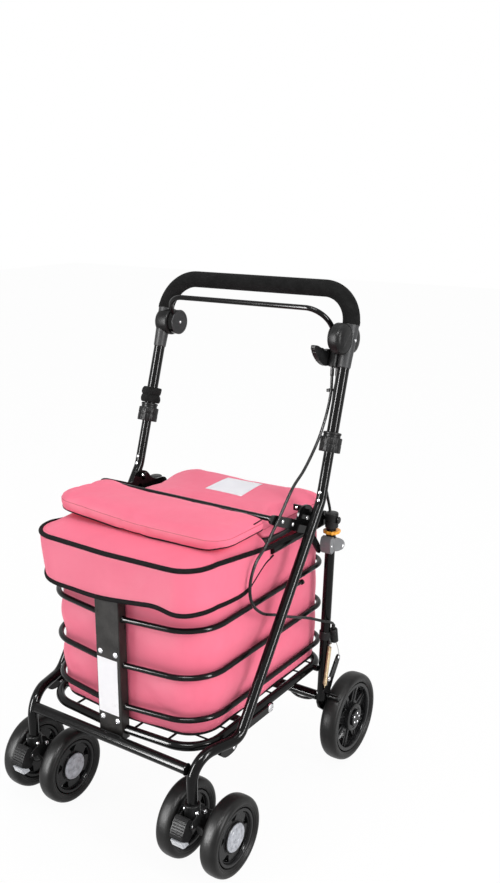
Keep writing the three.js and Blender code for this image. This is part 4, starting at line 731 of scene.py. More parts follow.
def smooth(points, steps):
    """(places, headings) of a centripetal Catmull-Rom curve through the points, at equal steps of
    its length: cubic pieces whose speeds at each point follow its neighbours, with knots at the
    square root of the spacing."""
    points = np.asarray(points, float)
    padded = np.vstack([2 * points[0] - points[1], points, 2 * points[-1] - points[-2]])
    knot = np.concatenate([[0], np.cumsum(np.linalg.norm(np.diff(padded, axis=0), axis=1) ** 0.5)])
    fine = np.linspace(knot[1], knot[-2], 60 * len(points))
    i = np.clip(np.searchsorted(knot, fine, "right") - 1, 1, len(padded) - 3)
    t = fine[:, None]
    k = [knot[i + j][:, None] for j in (-1, 0, 1, 2)]
    p = [padded[i + j] for j in (-1, 0, 1, 2)]

    def between(start, end, first, second):
        """first at the knot start, second at the knot end."""
        return (end - t) / (end - start) * first + (t - start) / (end - start) * second

    a = [between(k[j], k[j + 1], p[j], p[j + 1]) for j in range(3)]
    b = [between(k[j], k[j + 2], a[j], a[j + 1]) for j in range(2)]
    return traced(evenly(between(k[1], k[2], b[0], b[1]), steps))


cable_across = (0.83, 0.31, 0.46)
slide_bend = ("frame", "handle", (199, 380, 590), (199, 380, 698))
right_fold_bend = ("frame", "rear_frame", (198, 160, 440), (221, 392, 318))
left_fold_bend = ("frame", "rear_frame", (195.3, 421, 530), (196, 417, 420))
cable_runs = (
    ("right", cable_right, 150, (198, 146, 460), right_fold_bend),
    ("left", cable_left, 260, (195.3, 421, 530), left_fold_bend),
)
for word, points, steps, halfway, fold_bend in cable_runs:
    places, headings = smooth(points, steps)
    parted = int(np.argmin(np.linalg.norm(places - halfway, axis=1)))
    upper = [tube((places[:parted + 2], headings[:parted + 2]), 2.75, 14, cable_across)]
    upper.append(lathe([(3.5, -9), (3.6, -7), (3.6, 9), (3.2, 10)], places[0], headings[0], 20))
    lower = [tube((places[parted:], headings[parted:]), 2.7, 14, cable_across)]
    lower.append(lathe([(3.5, -2), (3.6, 0), (3.6, 9), (3.2, 10)], places[-1], -headings[-1], 20))
    cad_piece(f"brake_cable_{word}_upper", upper, cable_black, slide_bend, "cable")
    piece(f"brake_cable_{word}_lower", lower, cable_black, fold_bend, "cable")
tie_place = np.array((199.0, 414, 770.0))
tie = lathe([(6.4, -2), (7.1, -2), (7.1, 2), (6.4, 2)], tie_place, upright, 28, loop=True)
head = prism([(-3, -2.6), (3, -2.6), (3, 2.6), (-3, 2.6)], -3, 3)
piece(
    "cable_tie", [tie, (head[0] + tie_place + (-5, -7, 0), *head[1:])], moulded, slide_bend,
    "black_plastic",
)

# Handle and grip
# A U of 22 mm tube that slides over the side tubes, coated black, with closed-cell foam pulled
# over its bow.

foam = surface(
    "closed_cell_foam", (0.008, 0.008, 0.008), 0.95, uneven=0.03, patch=70,
    grain=((cells, 1500, 0.00025), (noise, 3200, 0.0002), (noise, 90, 0.0004)), Sheen_Weight=0.01,
    Specular_IOR_Level=0.05,
)
handle_end = 392


def handle_path(start):
    """Up the right upright from start, across and down the left one."""
    corners = [on_upright(start), on_upright(handle_end)]
    return bent(corners + [mirrored(c, -1) for c in corners[::-1]], (66, 66), 26)


bow = tube(handle_path(97), 11, 32, upright_back)
cad_piece("handle_tube_steel", [bow], paint, "handle", "black_paint")
grip = tube(handle_path(337), 16, 40, upright_back)
cad_piece("foam_grip_soft", [grip], foam, "handle", "foam", bevel=2.0)

# Height collars and strap
# A ribbed nylon ring with a smooth neck on each upright twists to clamp the handle tube. A black
# webbing strap is wound round the tube above the left one.


def round_upright(along, radius, x):
    """A ring of places round an upright, one per radius."""
    t = angles(len(radius))[:, None]
    return on_upright(along, 0, x) + radius[:, None] * (np.cos(t) * (1, 0, 0) + np.sin(t) * upright_back)


ribbed = 20 - 0.55 * (1 + np.cos(24 * angles(96))) / 2
plain = np.full(96, 20.0)
levels = (
    (92, 0.94, plain), (93.2, 1, ribbed), (106, 1, ribbed), (106.6, 0.975, plain),
    (107.6, 0.975, plain), (108.2, 1, ribbed), (118.8, 1, ribbed), (120, 0.94, plain),
)
neck_profile = [(15, 0), (16, 1.2), (16, 9), (17, 10), (17, 12.5), (16, 13.4), (12.5, 14)]
for side, word in sides:
    x = side * frame_half_width
    ring = skin([round_upright(along, outline * share, x) for along, share, outline in levels])
    neck = lathe(neck_profile, on_upright(115.6, 0, x), upright, 40)
    cad_piece(f"collar_{word}_moulded", [ring, neck], moulded, f"collar_{word}", "black_plastic")
webbing = surface(
    "black_webbing", (0.005, 0.005, 0.005), 0.9, uneven=0.05, patch=120,
    grain=(("ShaderNodeTexWave", 420, 0.0004), (noise, 2200, 0.0002)), Sheen_Weight=0.03,
    Specular_IOR_Level=0.1,
)
t = angles(72)
rings = []
for v in np.linspace(0, 1, 25):
    puff = 17.2 + 2.8 * abs(math.sin(2 * np.pi * v)) ** 0.45
    wave = puff + 0.7 * np.sin(3 * t + 5 * v) + 0.35 * np.sin(7 * t - 9 * v)
    rings.append(round_upright(130.4 + 31.6 * v, wave, -frame_half_width))
cad_piece("collar_strap_wound", [skin(rings)], webbing, "handle", "webbing", sharp=70)

# Brake housings
# Dark grey nylon sleeves on the handle tube, each with a black drum, and a cover screwed on over the
# hub of the brake bar. The right one has a second, wider drum in front of the tube and, under it,
# the outlets of the two cables.

housing_grey = surface(
    "dark_grey_nylon", (0.021, 0.0215, 0.0225), 0.42, uneven=0.08, patch=45,
    grain=((noise, 1300, 0.00008), (cells, 1900, 0.00004)), edge=0.3, Specular_IOR_Level=0.18,
)
bar_pivot = on_upright(303, 8, 0)
drum_face, cover_face, cover_outer = 194.5, 182.9, 179.9
lever_y, lever_z = 428, 831
outlet_top = 290.5
outlets = ((247, -8, 197, 8), (247, 11, 197, 8), (248, 3.5, 197.6, 6.6))
drum = [
    (0.6, 0.6), (15, 0.4), (21, 1.2), (24.4, 3), (26.2, 6), (26.6, 9), (26.6, 29), (26, 31.4),
    (25, 32.4),
]
wider_drum = [
    (0.6, 0.4), (14, 0.2), (21, 1.2), (25.6, 3.4), (28, 7), (28.6, 10), (28.6, 22), (28, 23.6), (26, 24.4),
]
cover = [
    (24.6, 0), (25, 0.4), (25, 1.4), (24.2, 2.6), (22.6, 3), (20.5, 3), (20, 2.5), (7, 2.5), (6.4, 3),
    (0.6, 3),
]
for side, word in sides:
    x = side * frame_half_width
    inward = (-side, 0, 0)
    foot, top = on_upright(248, 0, x), on_upright(336.6, 0, x)
    shells = [rod(foot, top, 12.4, top_radius=15.3, edge=1.2, steps=40)]
    shells.append(lathe([(8, 0), (8, 14)], bar_pivot + (side * 195, 0, 0), inward, 24))
    shells.append(lathe(cover, bar_pivot + (side * cover_face, 0, 0), inward, 56))
    drums = [lathe(drum, bar_pivot + (side * 227, -3, 0), inward, 64)]
    rises = (0,)
    if side > 0:
        rises = (-4.2, 4.2)
        drums.append(lathe(wider_drum, bar_pivot + (228.5, -34, 5), inward, 64))
        for low, behind, outlet_x, radius in outlets:
            ends = [on_upright(along, behind, outlet_x) for along in (low, outlet_top)]
            drums.append(rod(*ends, radius, edge=1, steps=28))
        shells.append(crossbar(196, 177, lever_y, lever_z, 3))
    cad_piece(f"brake_housing_{word}_moulded", shells, housing_grey, "handle", "grey_plastic")
    piece(f"brake_housing_{word}_drum", drums, moulded, "handle", "grey_plastic")
    middle = bar_pivot + (side * (cover_outer - 0.1), 0, 0)
    heads = [rivet(middle + (0, 0, rise), inward, 3, 1.5, pressed=0.9) for rise in rises]
    heads.append(rivet(on_upright(300, 0, x + side * 14.7), (side, 0, 0), 3, 1.6, pressed=0.9))
    piece(f"brake_housing_{word}_screws", heads, bright_steel, "handle", "zinc")

# Parking lever
# A black nylon claw on a pin under the right housing; its front edge is ribbed, and pressing it
# down locks the brake bar.

claw = [
    (364, 858), (370, 841), (383, 827), (402, 815), (420, 813), (434, 819), (438, 831), (430, 841),
    (418, 845), (404, 842), (398, 849), (388, 851), (376, 857),
]
cad_piece(
    "park_lever_moulded", [plate(claw, 178.5, 188.2)], moulded, "park_lever", "black_plastic", bevel=1.2,
)
rib_places = ((366, 851), (369, 845), (373.5, 839), (379, 832.5), (385, 826.5))
ribs = [crossbar(178.7, 188, y, z, 0.9, edge=0.3, steps=10) for y, z in rib_places]
piece("park_lever_ridges", ribs, moulded, "park_lever", "black_plastic")
piece(
    "park_lever_pin", [rivet((178.2, lever_y, lever_z), (-1, 0, 0), 3.4, 1.6)], bright_steel,
    "park_lever", "zinc",
)

# Brake bar
# A bent 10 mm steel rod, gloss black, across under the grip, with a flat round hub at each end
# that turns between a drum and its cover.

hub_x = (drum_face + cover_face) / 2
bar_half = [(hub_x, bar_pivot[1], bar_pivot[2]), (180, 405, 918)]
shells = [tube(bent(both_ways(bar_half), (42, 42), 22), 5, 24, (0, 0.3, -0.95))]
for side in (-1, 1):
    centre = bar_pivot + (side * (cover_face + 0.3), 0, 0)
    shells.append(lathe([(24, 0), (24.7, 0.7), (24.7, 10.3), (24, 11)], centre, (side, 0, 0), 56))
cad_piece("brake_bar_steel", shells, paint, "brake_bar", "black_paint")

# Wheels
# Solid rubber tyres on moulded nylon rims. The rear ones have eight windows, the front ones five
# small windows, two grooves in the tyre's wall and a grey cap on the hub.

tyre_black = surface(
    "solid_tyre", (0.008, 0.0078, 0.0078), 0.4, (0.014, 0.0136, 0.0132), uneven=0.08, patch=28,
    grain=((noise, 900, 0.0001), (noise, 60, 0.0003)), Specular_IOR_Level=0.16,
)
rim_black = surface(
    "moulded_rim", (0.007, 0.007, 0.0075), 0.22, uneven=0.08, patch=40,
    grain=((noise, 1300, 0.00006),), edge=0.25, Specular_IOR_Level=0.16,
)
hub_grey = surface(
    "grey_hub_cap", (0.27, 0.28, 0.31), 0.3, (0.5, 0.52, 0.57), uneven=0.1, patch=110,
    grain=((noise, 900, 0.00008), (cells, 90, 0.0004)), Coat_Weight=0.2,
)


def hump(value, middle, width):
    """exp(-((value - middle) / width) squared): 1 at the middle, falling to nothing both ways."""
    return np.exp(-(((value - middle) / width) ** 2))


def tyre(radius, half, seat, grooves):
    """A tyre's section: round shoulders |z / half| ^ p + |(r - middle) / deep| ^ p = 1, with each
    groove (radius, depth) cut into both walls."""
    t = angles(80)
    middle, deep = (radius + seat) / 2, (radius - seat) / 2
    power = 2 / 2.7
    r = middle + deep * powered(np.cos(t), power)
    z = half * powered(np.sin(t), power)
    for place, depth in grooves:
        z = z - np.sign(z) * depth * hump(r, place, 0.7) * (np.abs(z) > half * 0.4)
    return np.c_[r, z]


def webbed(centre, count, inner, outer, inner_share, outer_share, hub, lip, half, out):
    """A web with count windows. Radii run hub, inner, outer, lip; across each of its sectors the
    angle is eased so that columns follow the window's slanting sides. Window cells are left open."""
    bands = ((hub, inner, 3), (inner, outer, 7), (outer, lip, 3))
    radii = np.unique(np.concatenate([np.linspace(*band) for band in bands]))
    share = np.interp(
        radii, [hub, inner, outer, lip], [inner_share, inner_share, outer_share, outer_share],
    )
    column = np.concatenate(
        [np.linspace(-1, -0.5, 5), np.linspace(-0.5, 0.5, 9)[1:], np.linspace(0.5, 1, 5)[1:-1]],
    )
    share = share[:, None]
    solid = np.sign(column) * (share + (1 - share) * (np.abs(column) - 0.5) * 2)
    slanted = np.where(np.abs(column) <= 0.5, column * 2 * share, solid)
    angle = (np.arange(count)[:, None, None] * 2 + slanted) * np.pi / count
    angle = np.moveaxis(angle, 0, 1).reshape(len(radii), -1)
    y, z = radii[:, None] * np.sin(angle), radii[:, None] * np.cos(angle)
    rows, columns = angle.shape
    row = np.arange(rows - 1)[:, None]
    spot = np.arange(columns)[None] % len(column)
    window = (row >= 2) & (row < 8) & (spot >= 4) & (spot < 12)
    used, where = np.unique(grid_faces(rows, columns)[~window], return_inverse=True)
    flat = np.stack([np.zeros(y.size), y.ravel(), z.ravel()], -1)[used] + centre
    quads = where.reshape(-1, 4)
    edges = np.vstack([quads[:, [i, (i + 1) % 4]] for i in range(4)])
    _, first, times = np.unique(np.sort(edges, axis=1), axis=0, return_index=True, return_counts=True)
    rim = edges[first[times == 1]]
    walls = np.stack([rim[:, 1], rim[:, 0], rim[:, 0] + len(flat), rim[:, 1] + len(flat)], -1)
    faces = np.vstack([quads, quads[:, ::-1] + len(flat), walls])
    points = np.vstack([flat + (out * half, 0, 0), flat - (out * half, 0, 0)])
    return points, facing_out(points, [faces])


rear_lip = [
    (62, -13), (62.8, -14), (69, -14), (69.6, -13), (69.6, 13), (69, 14), (62.8, 14), (62, 13),
    (61, 5.8), (61, -5.8),
]
rear_hub = [
    (16, -20.6), (17, -20), (27.4, -7), (28, -6), (28, 15), (27, 16.4), (21.4, 17), (20.8, 15.8),
    (17.4, 15.6), (17, 20.4), (16, 21.2), (0.6, 21.2),
]
for side, word in sides:
    centre = np.array((side * wheel_x, axle_y, wheel_radius))
    out = np.array((side, 0, 0))
    profile = tyre(wheel_radius, half=17.5, seat=69.3, grooves=((74, 0.8),))
    cad_piece(
        f"rear_tyre_{word}_rubber", [lathe(profile, centre, out, 96, loop=True)], tyre_black,
        f"rear_wheel_{word}", "tyre", sharp=50,
    )
    shells = [lathe(rear_lip, centre, out, 96, loop=True)]
    web = webbed(
        centre, count=8, inner=33, outer=59.5, inner_share=0.36, outer_share=0.68, hub=27, lip=61.5,
        half=6, out=side,
    )
    shells.append(web)
    shells.append(lathe(rear_hub, centre, out, 48))
    for turn in angles(8) + np.pi / 8:
        way = np.array((0, math.sin(turn), math.cos(turn)))
        rib = [centre + way * radius + out * 6.4 for radius in (27, 61)]
        shells.append(rod(*rib, 1.8, edge=0.2, steps=12))
    cad_piece(f"rear_rim_{word}_moulded", shells, rim_black, f"rear_wheel_{word}", "rim", bevel=0.7)
    heads = []
    for turn in angles(5) + 0.3:
        bolt_place = centre + out * 21.1 + (0, 10 * math.sin(turn), 10 * math.cos(turn))
        heads.append(rivet(bolt_place, out, 2.5, 1.2, pressed=0.7))
    piece(f"rear_rim_{word}_bolts", heads, bright_steel, f"rear_wheel_{word}", "zinc")

caster_axle_y, front_radius, spread = 33, 70.5, 46.5
front_lip = [
    (45, -12.2), (45.8, -13), (50, -13), (50.6, -12), (50.6, 12), (50, 13), (45.8, 13), (45, 12.2),
    (43.6, 5), (43.6, -5),
]
front_hub = [
    (14, -17), (15, -17.4), (20.4, -14), (21, -13), (26.4, 6), (26.8, 9), (26.6, 10.4), (25.8, 11),
    (0.6, 11),
]
hub_cap = [
    (24.9, 10.4), (24.9, 11.6), (24.2, 12.4), (19.6, 12.9), (19, 12.5), (18.2, 12.5), (17.6, 13.1),
    (7.6, 13.6), (7, 13.1), (0.6, 13.1),
]
for side, word in sides:
    for way, place in ((1, "outer"), (-1, "inner")):
        out = np.array((side * way, 0, 0))
        centre = np.array((side * caster_x, caster_axle_y, front_radius)) + out * spread
        body = f"front_wheel_{place}_{word}"
        profile = tyre(front_radius, half=16.5, seat=50.3, grooves=((57.6, 0.9), (54.4, 0.9)))
        cad_piece(
            f"front_tyre_{place}_{word}_rubber", [lathe(profile, centre, out, 88, loop=True)],
            tyre_black, body, "tyre", sharp=50,
        )
        shells = [lathe(front_lip, centre, out, 88, loop=True)]
        web = webbed(
            centre, count=5, inner=30.5, outer=42, inner_share=0.16, outer_share=0.42, hub=20, lip=44,
            half=7.6, out=side * way,
        )
        shells.append(web)
        for r in (27.6, 42.2):
            bead = [(r, 7), (r + 0.4, 8.5), (r + 1.2, 8.5), (r + 1.6, 7)]
            shells.append(lathe(bead, centre, out, 72, loop=True))
        shells.append(lathe(front_hub, centre, out, 40))
        cad_piece(f"front_rim_{place}_{word}_moulded", shells, rim_black, body, "rim", bevel=0.6)
        piece(f"front_cap_{place}_{word}", [lathe(hub_cap, centre, out, 40)], hub_grey, body, "clip")

# Casters
# A moulded black fork turns in each side tube's foot and carries the axle of a pair of wheels. Two
# bolts cross it, and a ribbed tab hangs on a pin in front, over a light grey plate.

plate_grey = surface(
    "light_grey_plate", (0.42, 0.44, 0.47), 0.32, (0.5, 0.52, 0.55), patch=80,
    grain=((noise, 900, 0.00008),), edge=0.3,
)
fork_outline = [
    (-22, 136), (6, 136), (16, 120), (50, 90), (56, 70), (50, 54), (34, 48), (20, 54), (6, 82),
    (-16, 108),
]
ear_outline = [(-4, 106), (-4, 124), (-14, 126), (-35, 119), (-37, 112), (-33, 106)]
pedal_outline = [
    (-26, 107), (-25.5, 117), (-34, 131), (-43, 127), (-56, 106), (-55, 97), (-38, 87), (-29, 94),
]
for side, word in sides:
    x = side * caster_x
    shells = [rod((x, caster_y, 114), (x, caster_y, 140.7), 14, edge=1.4, steps=36)]
    shells.append(plate(fork_outline, x - 10, x + 10))
    shells += [plate(ear_outline, x + way * 13.4, x + way * 16) for way in (-1, 1)]
    shells.append(crossbar(x - 57, x + 57, caster_axle_y, front_radius, 5))
    shells.append(crossbar(x - 27.5, x + 27.5, caster_axle_y, front_radius, 9))
    shells.append(crossbar(x - 15, x + 15, -8, 122, 3.4))
    cad_piece(f"caster_fork_{word}_moulded", shells, moulded, f"caster_{word}", "black_plastic", bevel=1.0)
    bolts = [
        rivet((x + way * 13, y, z), (way, 0, 0), 3.6, 2.4, pressed=1)
        for way in (-1, 1) for y, z in ((-14, 128), (8, 118))
    ]
    bolts.append(crossbar(x - 16.4, x + 16.4, -31, 113, 2.5))
    piece(f"caster_fork_{word}_bolts", bolts, bright_steel, f"caster_{word}", "zinc")
    tab = [plate(pedal_outline, x - 13, x + 13)]
    for share in np.linspace(0, 1, 6):
        y, z = -43.5 - 12 * share, 126.6 - 19.5 * share
        tab.append(crossbar(x - 11.6, x + 11.6, y, z, 1.2, edge=0.4, steps=12))
    cad_piece(
        f"caster_pedal_{word}_moulded", tab, moulded, f"caster_pedal_{word}", "black_plastic", bevel=1.0,
    )
    under = prism(
        [(-56, 93.5), (-53, 94.5), (-38, 86), (-36, 81), (-46, 80), (-51.5, 81.5)], x - 11.5, x + 11.5,
    )
    piece(f"caster_plate_{word}", [under], plate_grey, f"caster_pedal_{word}", "clip", bevel=0.5)

# Bag
# Pink coated cloth. The bag hangs inside the rods, is turned out over the rim hoop and falls in
# front as a skirt; black tape binds the rim and the hem, and black piping runs round the bottom.


def cloth(name, colour, deep, roughness, weave, folds, **sockets):
    """Coated cloth: a soft noise runs colour into deep; weave is the height of its fine diagonal
    threads and folds that of its soft dents, in metres."""
    made, tree, shader, place = begun(name)
    soft = texture(tree, noise, place, 7, Detail=4, Roughness=0.55).outputs["Fac"]
    fine = texture(tree, noise, place, 900, Detail=2).outputs["Fac"]
    painted = mixed(tree, ranged(tree, soft, 0, 1, 0.35, 0.7), colour, deep)
    painted = mixed(tree, ranged(tree, fine, 0, 0.12), painted, lighter(colour, 1.25, 0.02))
    tree.links.new(painted, shader.inputs["Base Color"])
    rough = ranged(tree, soft, roughness - 0.06, roughness + 0.06, 0.3, 0.7)
    tree.links.new(rough, shader.inputs["Roughness"])
    threads = texture(tree, "ShaderNodeTexWave", place, 460, Distortion=0.5)
    threads.bands_direction = "DIAGONAL"
    knots = texture(tree, cells, place, 950).outputs["Distance"]
    dents = texture(tree, noise, place, 11, Detail=3, Distortion=0.6).outputs["Fac"]
    bumps = ((threads.outputs["Fac"], weave), (knots, weave * 0.6), (dents, folds))
    completed(tree, shader, bumps, sockets)
    return made


vinyl = cloth(
    "pink_coated_cloth", (0.885, 0.182, 0.278), (0.85, 0.15, 0.24), roughness=0.58, weave=0.00005,
    folds=0.004, Sheen_Weight=0.05, Specular_IOR_Level=0.17,
)
tape = surface(
    "black_binding_tape", (0.005, 0.0042, 0.0045), 0.7, uneven=0.06, patch=120,
    grain=(("ShaderNodeTexWave", 600, 0.00025), (noise, 1500, 0.0001)), Sheen_Weight=0.01,
    Specular_IOR_Level=0.06,
)


def plan(half_width, front, bow, back, front_bend, back_bend, count=320):
    """(points, outward) of a plan at equal steps from the middle of the back: a front that bows
    forward by bow, straight sides and round corners."""
    corners = [(0, back, 0), (-half_width, back, 0), (-half_width, front + bow, 0), (0, front, 0)]
    corners += [(half_width, front + bow, 0), (half_width, back, 0), (0, back, 0)]
    places, _ = bent(corners, (back_bend, front_bend, 350, front_bend, back_bend), 24)
    points, way = traced(evenly(places, count, True)[:, :2], True)
    return points, np.stack([way[:, 1], -way[:, 0]], -1)


def at_height(points, z):
    """Plan points lifted to z."""
    return np.c_[points, np.broadcast_to(z, len(points))]


def eased(low, high, value):
    """0 below low, 1 above high, and s s (3 - 2 s) between."""
    s = np.clip((value - low) / (high - low), 0, 1)
    return s * s * (3 - 2 * s)


def hoop_z(y):
    """The rim hoop lies at 536 as far back as y 62, then slopes down by 22 over 167."""
    return 536 - 22 * np.clip((y - 62) / 167, 0, 1)


inside, inside_out = plan(
    half_width=171.5, front=21.3, bow=17, back=439, front_bend=66, back_bend=38,
)
rim, rim_out = plan(half_width=180, front=3.2, bow=8, back=441, front_bend=50, back_bend=40)
turned_in = eased(222, 236, rim[:, 1])[:, None]
rim = rim * (1 - turned_in) + inside * turned_in
rim_z = hoop_z(rim[:, 1]) * (1 - turned_in[:, 0]) + 501 * turned_in[:, 0]
x, y = inside.T
front_corners = hump(np.abs(x), 150, 45) * hump(y, 40, 60)
wall_rows = []
for v in np.linspace(0, 1, 40):
    z = 226 + 270 * v
    span = np.interp(z, (222, 258, 337, 423, 506), (0, 1, 2, 3, 4))
    puff = (2.4 if span < 1 else 6.2) * math.sin(np.pi * span) ** 2 * (1 - 0.75 * eased(240, 380, y))
    free = eased(34, 90, np.hypot(x, np.maximum(y - 25, 0)))
    dent = 1.1 * np.sin(x / 31 + 3 * v) * np.sin(y / 43 + 5 * v) + 0.8 * np.sin(x / 17 - y / 23 + 9 * v)
    crease = 1.7 * hump(x * 0.8 + z, 345, 9) * hump(x, 95, 42)
    crease += 1.5 * hump(x * 0.55 - z, -205, 8) * hump(x, 120, 30)
    draw = -1.6 + puff * free + dent * (0.5 + 0.9 * np.exp(-v * 4)) - 3.4 * hump(v, 0, 0.09) - crease
    sag = -1.6 * front_corners * np.exp(-v * 5)
    draw = np.minimum(draw, -0.2 + puff * free)
    wall_rows.append(at_height(inside + inside_out * draw[:, None], z + sag))
insets = ((60, 222), (22, 221.8), (12, 222.2), (7, 223.4))
bottom = [at_height(inside + inside_out * -inset, z) for inset, z in insets]
over = []
for turn in np.linspace(-0.4, np.pi * 0.95, 11):
    reach = 5.6 * (1 - turned_in) + 1.2 * turned_in
    out = -np.cos(turn) * reach
    up = np.sin(turn) * reach[:, 0]
    over.append(np.c_[rim + rim_out * out, rim_z + up])
on_side = eased(48, 74, rim[:, 1])
across = np.interp(rim[:, 0], (-172, -128, -39, 46, 112, 148, 176), (72, 81, 81, 73, 66, 76, 71))
along = np.interp(rim[:, 1], (60, 93, 140, 156, 192, 222), (70, 70, 66, 60, 33, 14))
fall = across * (1 - on_side) + along * on_side
fall = np.convolve(np.r_[fall[-4:], fall, fall[:4]], np.ones(9) / 9, "valid")
fall = np.where(turned_in[:, 0] > 0.02, np.minimum(fall, 13 - 9 * turned_in[:, 0]), fall)
x, y = rim.T
left_corner = hump(x, -168, 34) * hump(y, 28, 44)
skirt = []
for v in np.linspace(0.05, 1, 26):
    bulge = np.sin(np.pi * v)
    hang = 1.4 * np.sin(x / 26 + 1.4) * v + 1.3 * np.sin(x / 47 + y / 30) * v
    hang -= 3.0 * bulge * hump(x, 20, 120)
    hang += 1.1 * bulge * np.sin((x + 60 * v) / 15) * hump(x, 70, 60)
    flare = 5.8 + 0.9 * v + hang * (1 - turned_in[:, 0]) * 0.7 - 9 * left_corner * v ** 1.6
    flare = np.where(turned_in[:, 0] > 0.02, 1.2 + 4.6 * (1 - turned_in[:, 0]), flare)
    skirt.append(np.c_[rim + rim_out * np.clip(flare, -4.0, 7.6)[:, None], rim_z - fall * v])


def sheet_piece(name, rows, finish, body, thickness, stands_for=(), loop=False):
    """An open surface of rows, closed round if loop, given a thickness about itself by Solidify."""
    rows = np.asarray(rows)
    quads = grid_faces(*rows.shape[:2], columns_close=loop).reshape(-1, 4)
    shell = (rows.reshape(-1, 3), [quads])
    made = piece(name, [shell], finish, body, "vinyl", stands_for, sharp=180)
    wall = made.modifiers.new("wall", "SOLIDIFY")
    wall.thickness = thickness / 1000
    wall.offset = 0


sheet_piece("bag_cloth", bottom + wall_rows + over + skirt, vinyl, "frame", 1.4, "bag", loop=True)
bottom_edge = at_height(inside + inside_out * -4.2, 225.4 - 1.6 * front_corners)
piece("bag_piping", [tube(traced(bottom_edge, True), 2.1, 12, loop=True)], tape, "frame", "vinyl")
shown = np.flatnonzero(rim[:, 1] < 224)
front_run = np.arange(shown.min(), shown.max() + 1)
hem = skirt[-1][front_run]
overlap = 12
first, last = hem[0] + overlap * unit(hem[0] - hem[3]), hem[-1] + overlap * unit(hem[-1] - hem[-4])
hem = np.vstack([first, hem, last])
hem_width = 1.7 + 2.5 * (1 - eased(150, 168, hem[:, 1]))
hem_line = hem + np.c_[np.zeros((len(hem), 2)), 0.4 * hem_width]
piece("bag_hem_tape", [tube(traced(hem_line), hem_width, 16)], tape, "frame", "vinyl", sharp=70)
top_edge = np.c_[rim + rim_out * 4.6, rim_z + 4.2][front_run]
first_side = math.copysign(1, top_edge[0, 0])
tail = np.array([(187.5, 236, 519.6), (188.6, 262, 520.4), (188.8, 296, 517.6), (188.4, 326, 513.4)])
ends = [mirrored(tail, first_side)[::-1], mirrored(tail, -first_side)]
top_line, heading = smooth(np.vstack([ends[0], top_edge[6:-6:4], ends[1]]), 420)
wide = 4.3 - 1.3 * eased(290, 326, top_line[:, 1])
piece("bag_rim_tape", [tube((top_line, heading), wide, 16)], tape, "frame", "vinyl", sharp=70)

# Bag top panel
# The same cloth, sewn in from the bound rim up to the edge of the mouth under the flap, a little
# domed, with its side walls closing the step down to the seat.

inner_points, _ = plan(half_width=170, front=98, bow=2, back=441, front_bend=44, back_bend=40)
inner_edge = inner_points[np.flatnonzero(inner_points[:, 1] < 205)]
mouth_z = 553.0
left_fall, right_fall = 22, 5
outer_run = evenly(np.c_[rim, rim_z][front_run], 200)
inner_run = evenly(at_height(inner_edge, mouth_z), 200)
falls = np.where(inner_run[:, 0] < 0, left_fall, right_fall)
inner_run[:, 2] -= falls * eased(110, 205, inner_run[:, 1])
rows = []
for v in np.linspace(0, 1, 18):
    row = outer_run + (0, 0, 4.8) + (inner_run - outer_run - (0, 0, 4.8)) * v
    bulge = math.sin(np.pi * v)
    row[:, 2] += 3.2 * bulge + 0.7 * np.sin(row[:, 0] / 24 + 4 * v) * bulge
    rows.append(row)
sheet_piece("bag_top_panel", rows, vinyl, "frame", 1.4)

# Flap
# A foam pad in the same pink cloth over a board, on the hinge bar: a top panel sewn to a boxing
# strip by one fine seam, with piping under it. The cover is blown up as cloth, then its front left
# corner is lifted; a short black stitch lies at its right end.


def pad_rows(shape, bottom, box_height, crown, roll, draw):
    """Rows of a pad from its underside over the boxing to the middle of its top: the boxing stands
    out by draw sin(pi v), and the top rises by crown (1 - (1 - s) ** 3.2)."""
    points, outward = plan(*shape)
    middle = points.mean(axis=0)
    rows = []
    for s in np.linspace(0.1, 0.97, 6):
        rows.append(at_height(middle + (points - middle) * s, bottom))
    for angle in np.linspace(0, np.pi / 2, 5):
        inset = roll * (1 - math.sin(angle))
        rows.append(at_height(points - outward * inset, bottom + roll * (1 - math.cos(angle))))
    for v in np.linspace(0.08, 1, 7):
        out = outward * draw * math.sin(np.pi * v)
        rows.append(at_height(points + out, bottom + roll + (box_height - roll) * v))
    for s in np.linspace(0.01, 1, 30):
        rise = crown * (1 - (1 - s) ** 3.2) + 3.4 * (1 - math.exp(-s * 34))
        top = middle + (points - middle) * (1 - s * 0.97)
        rows.append(at_height(top, bottom + box_height + rise))
    return np.array(rows)


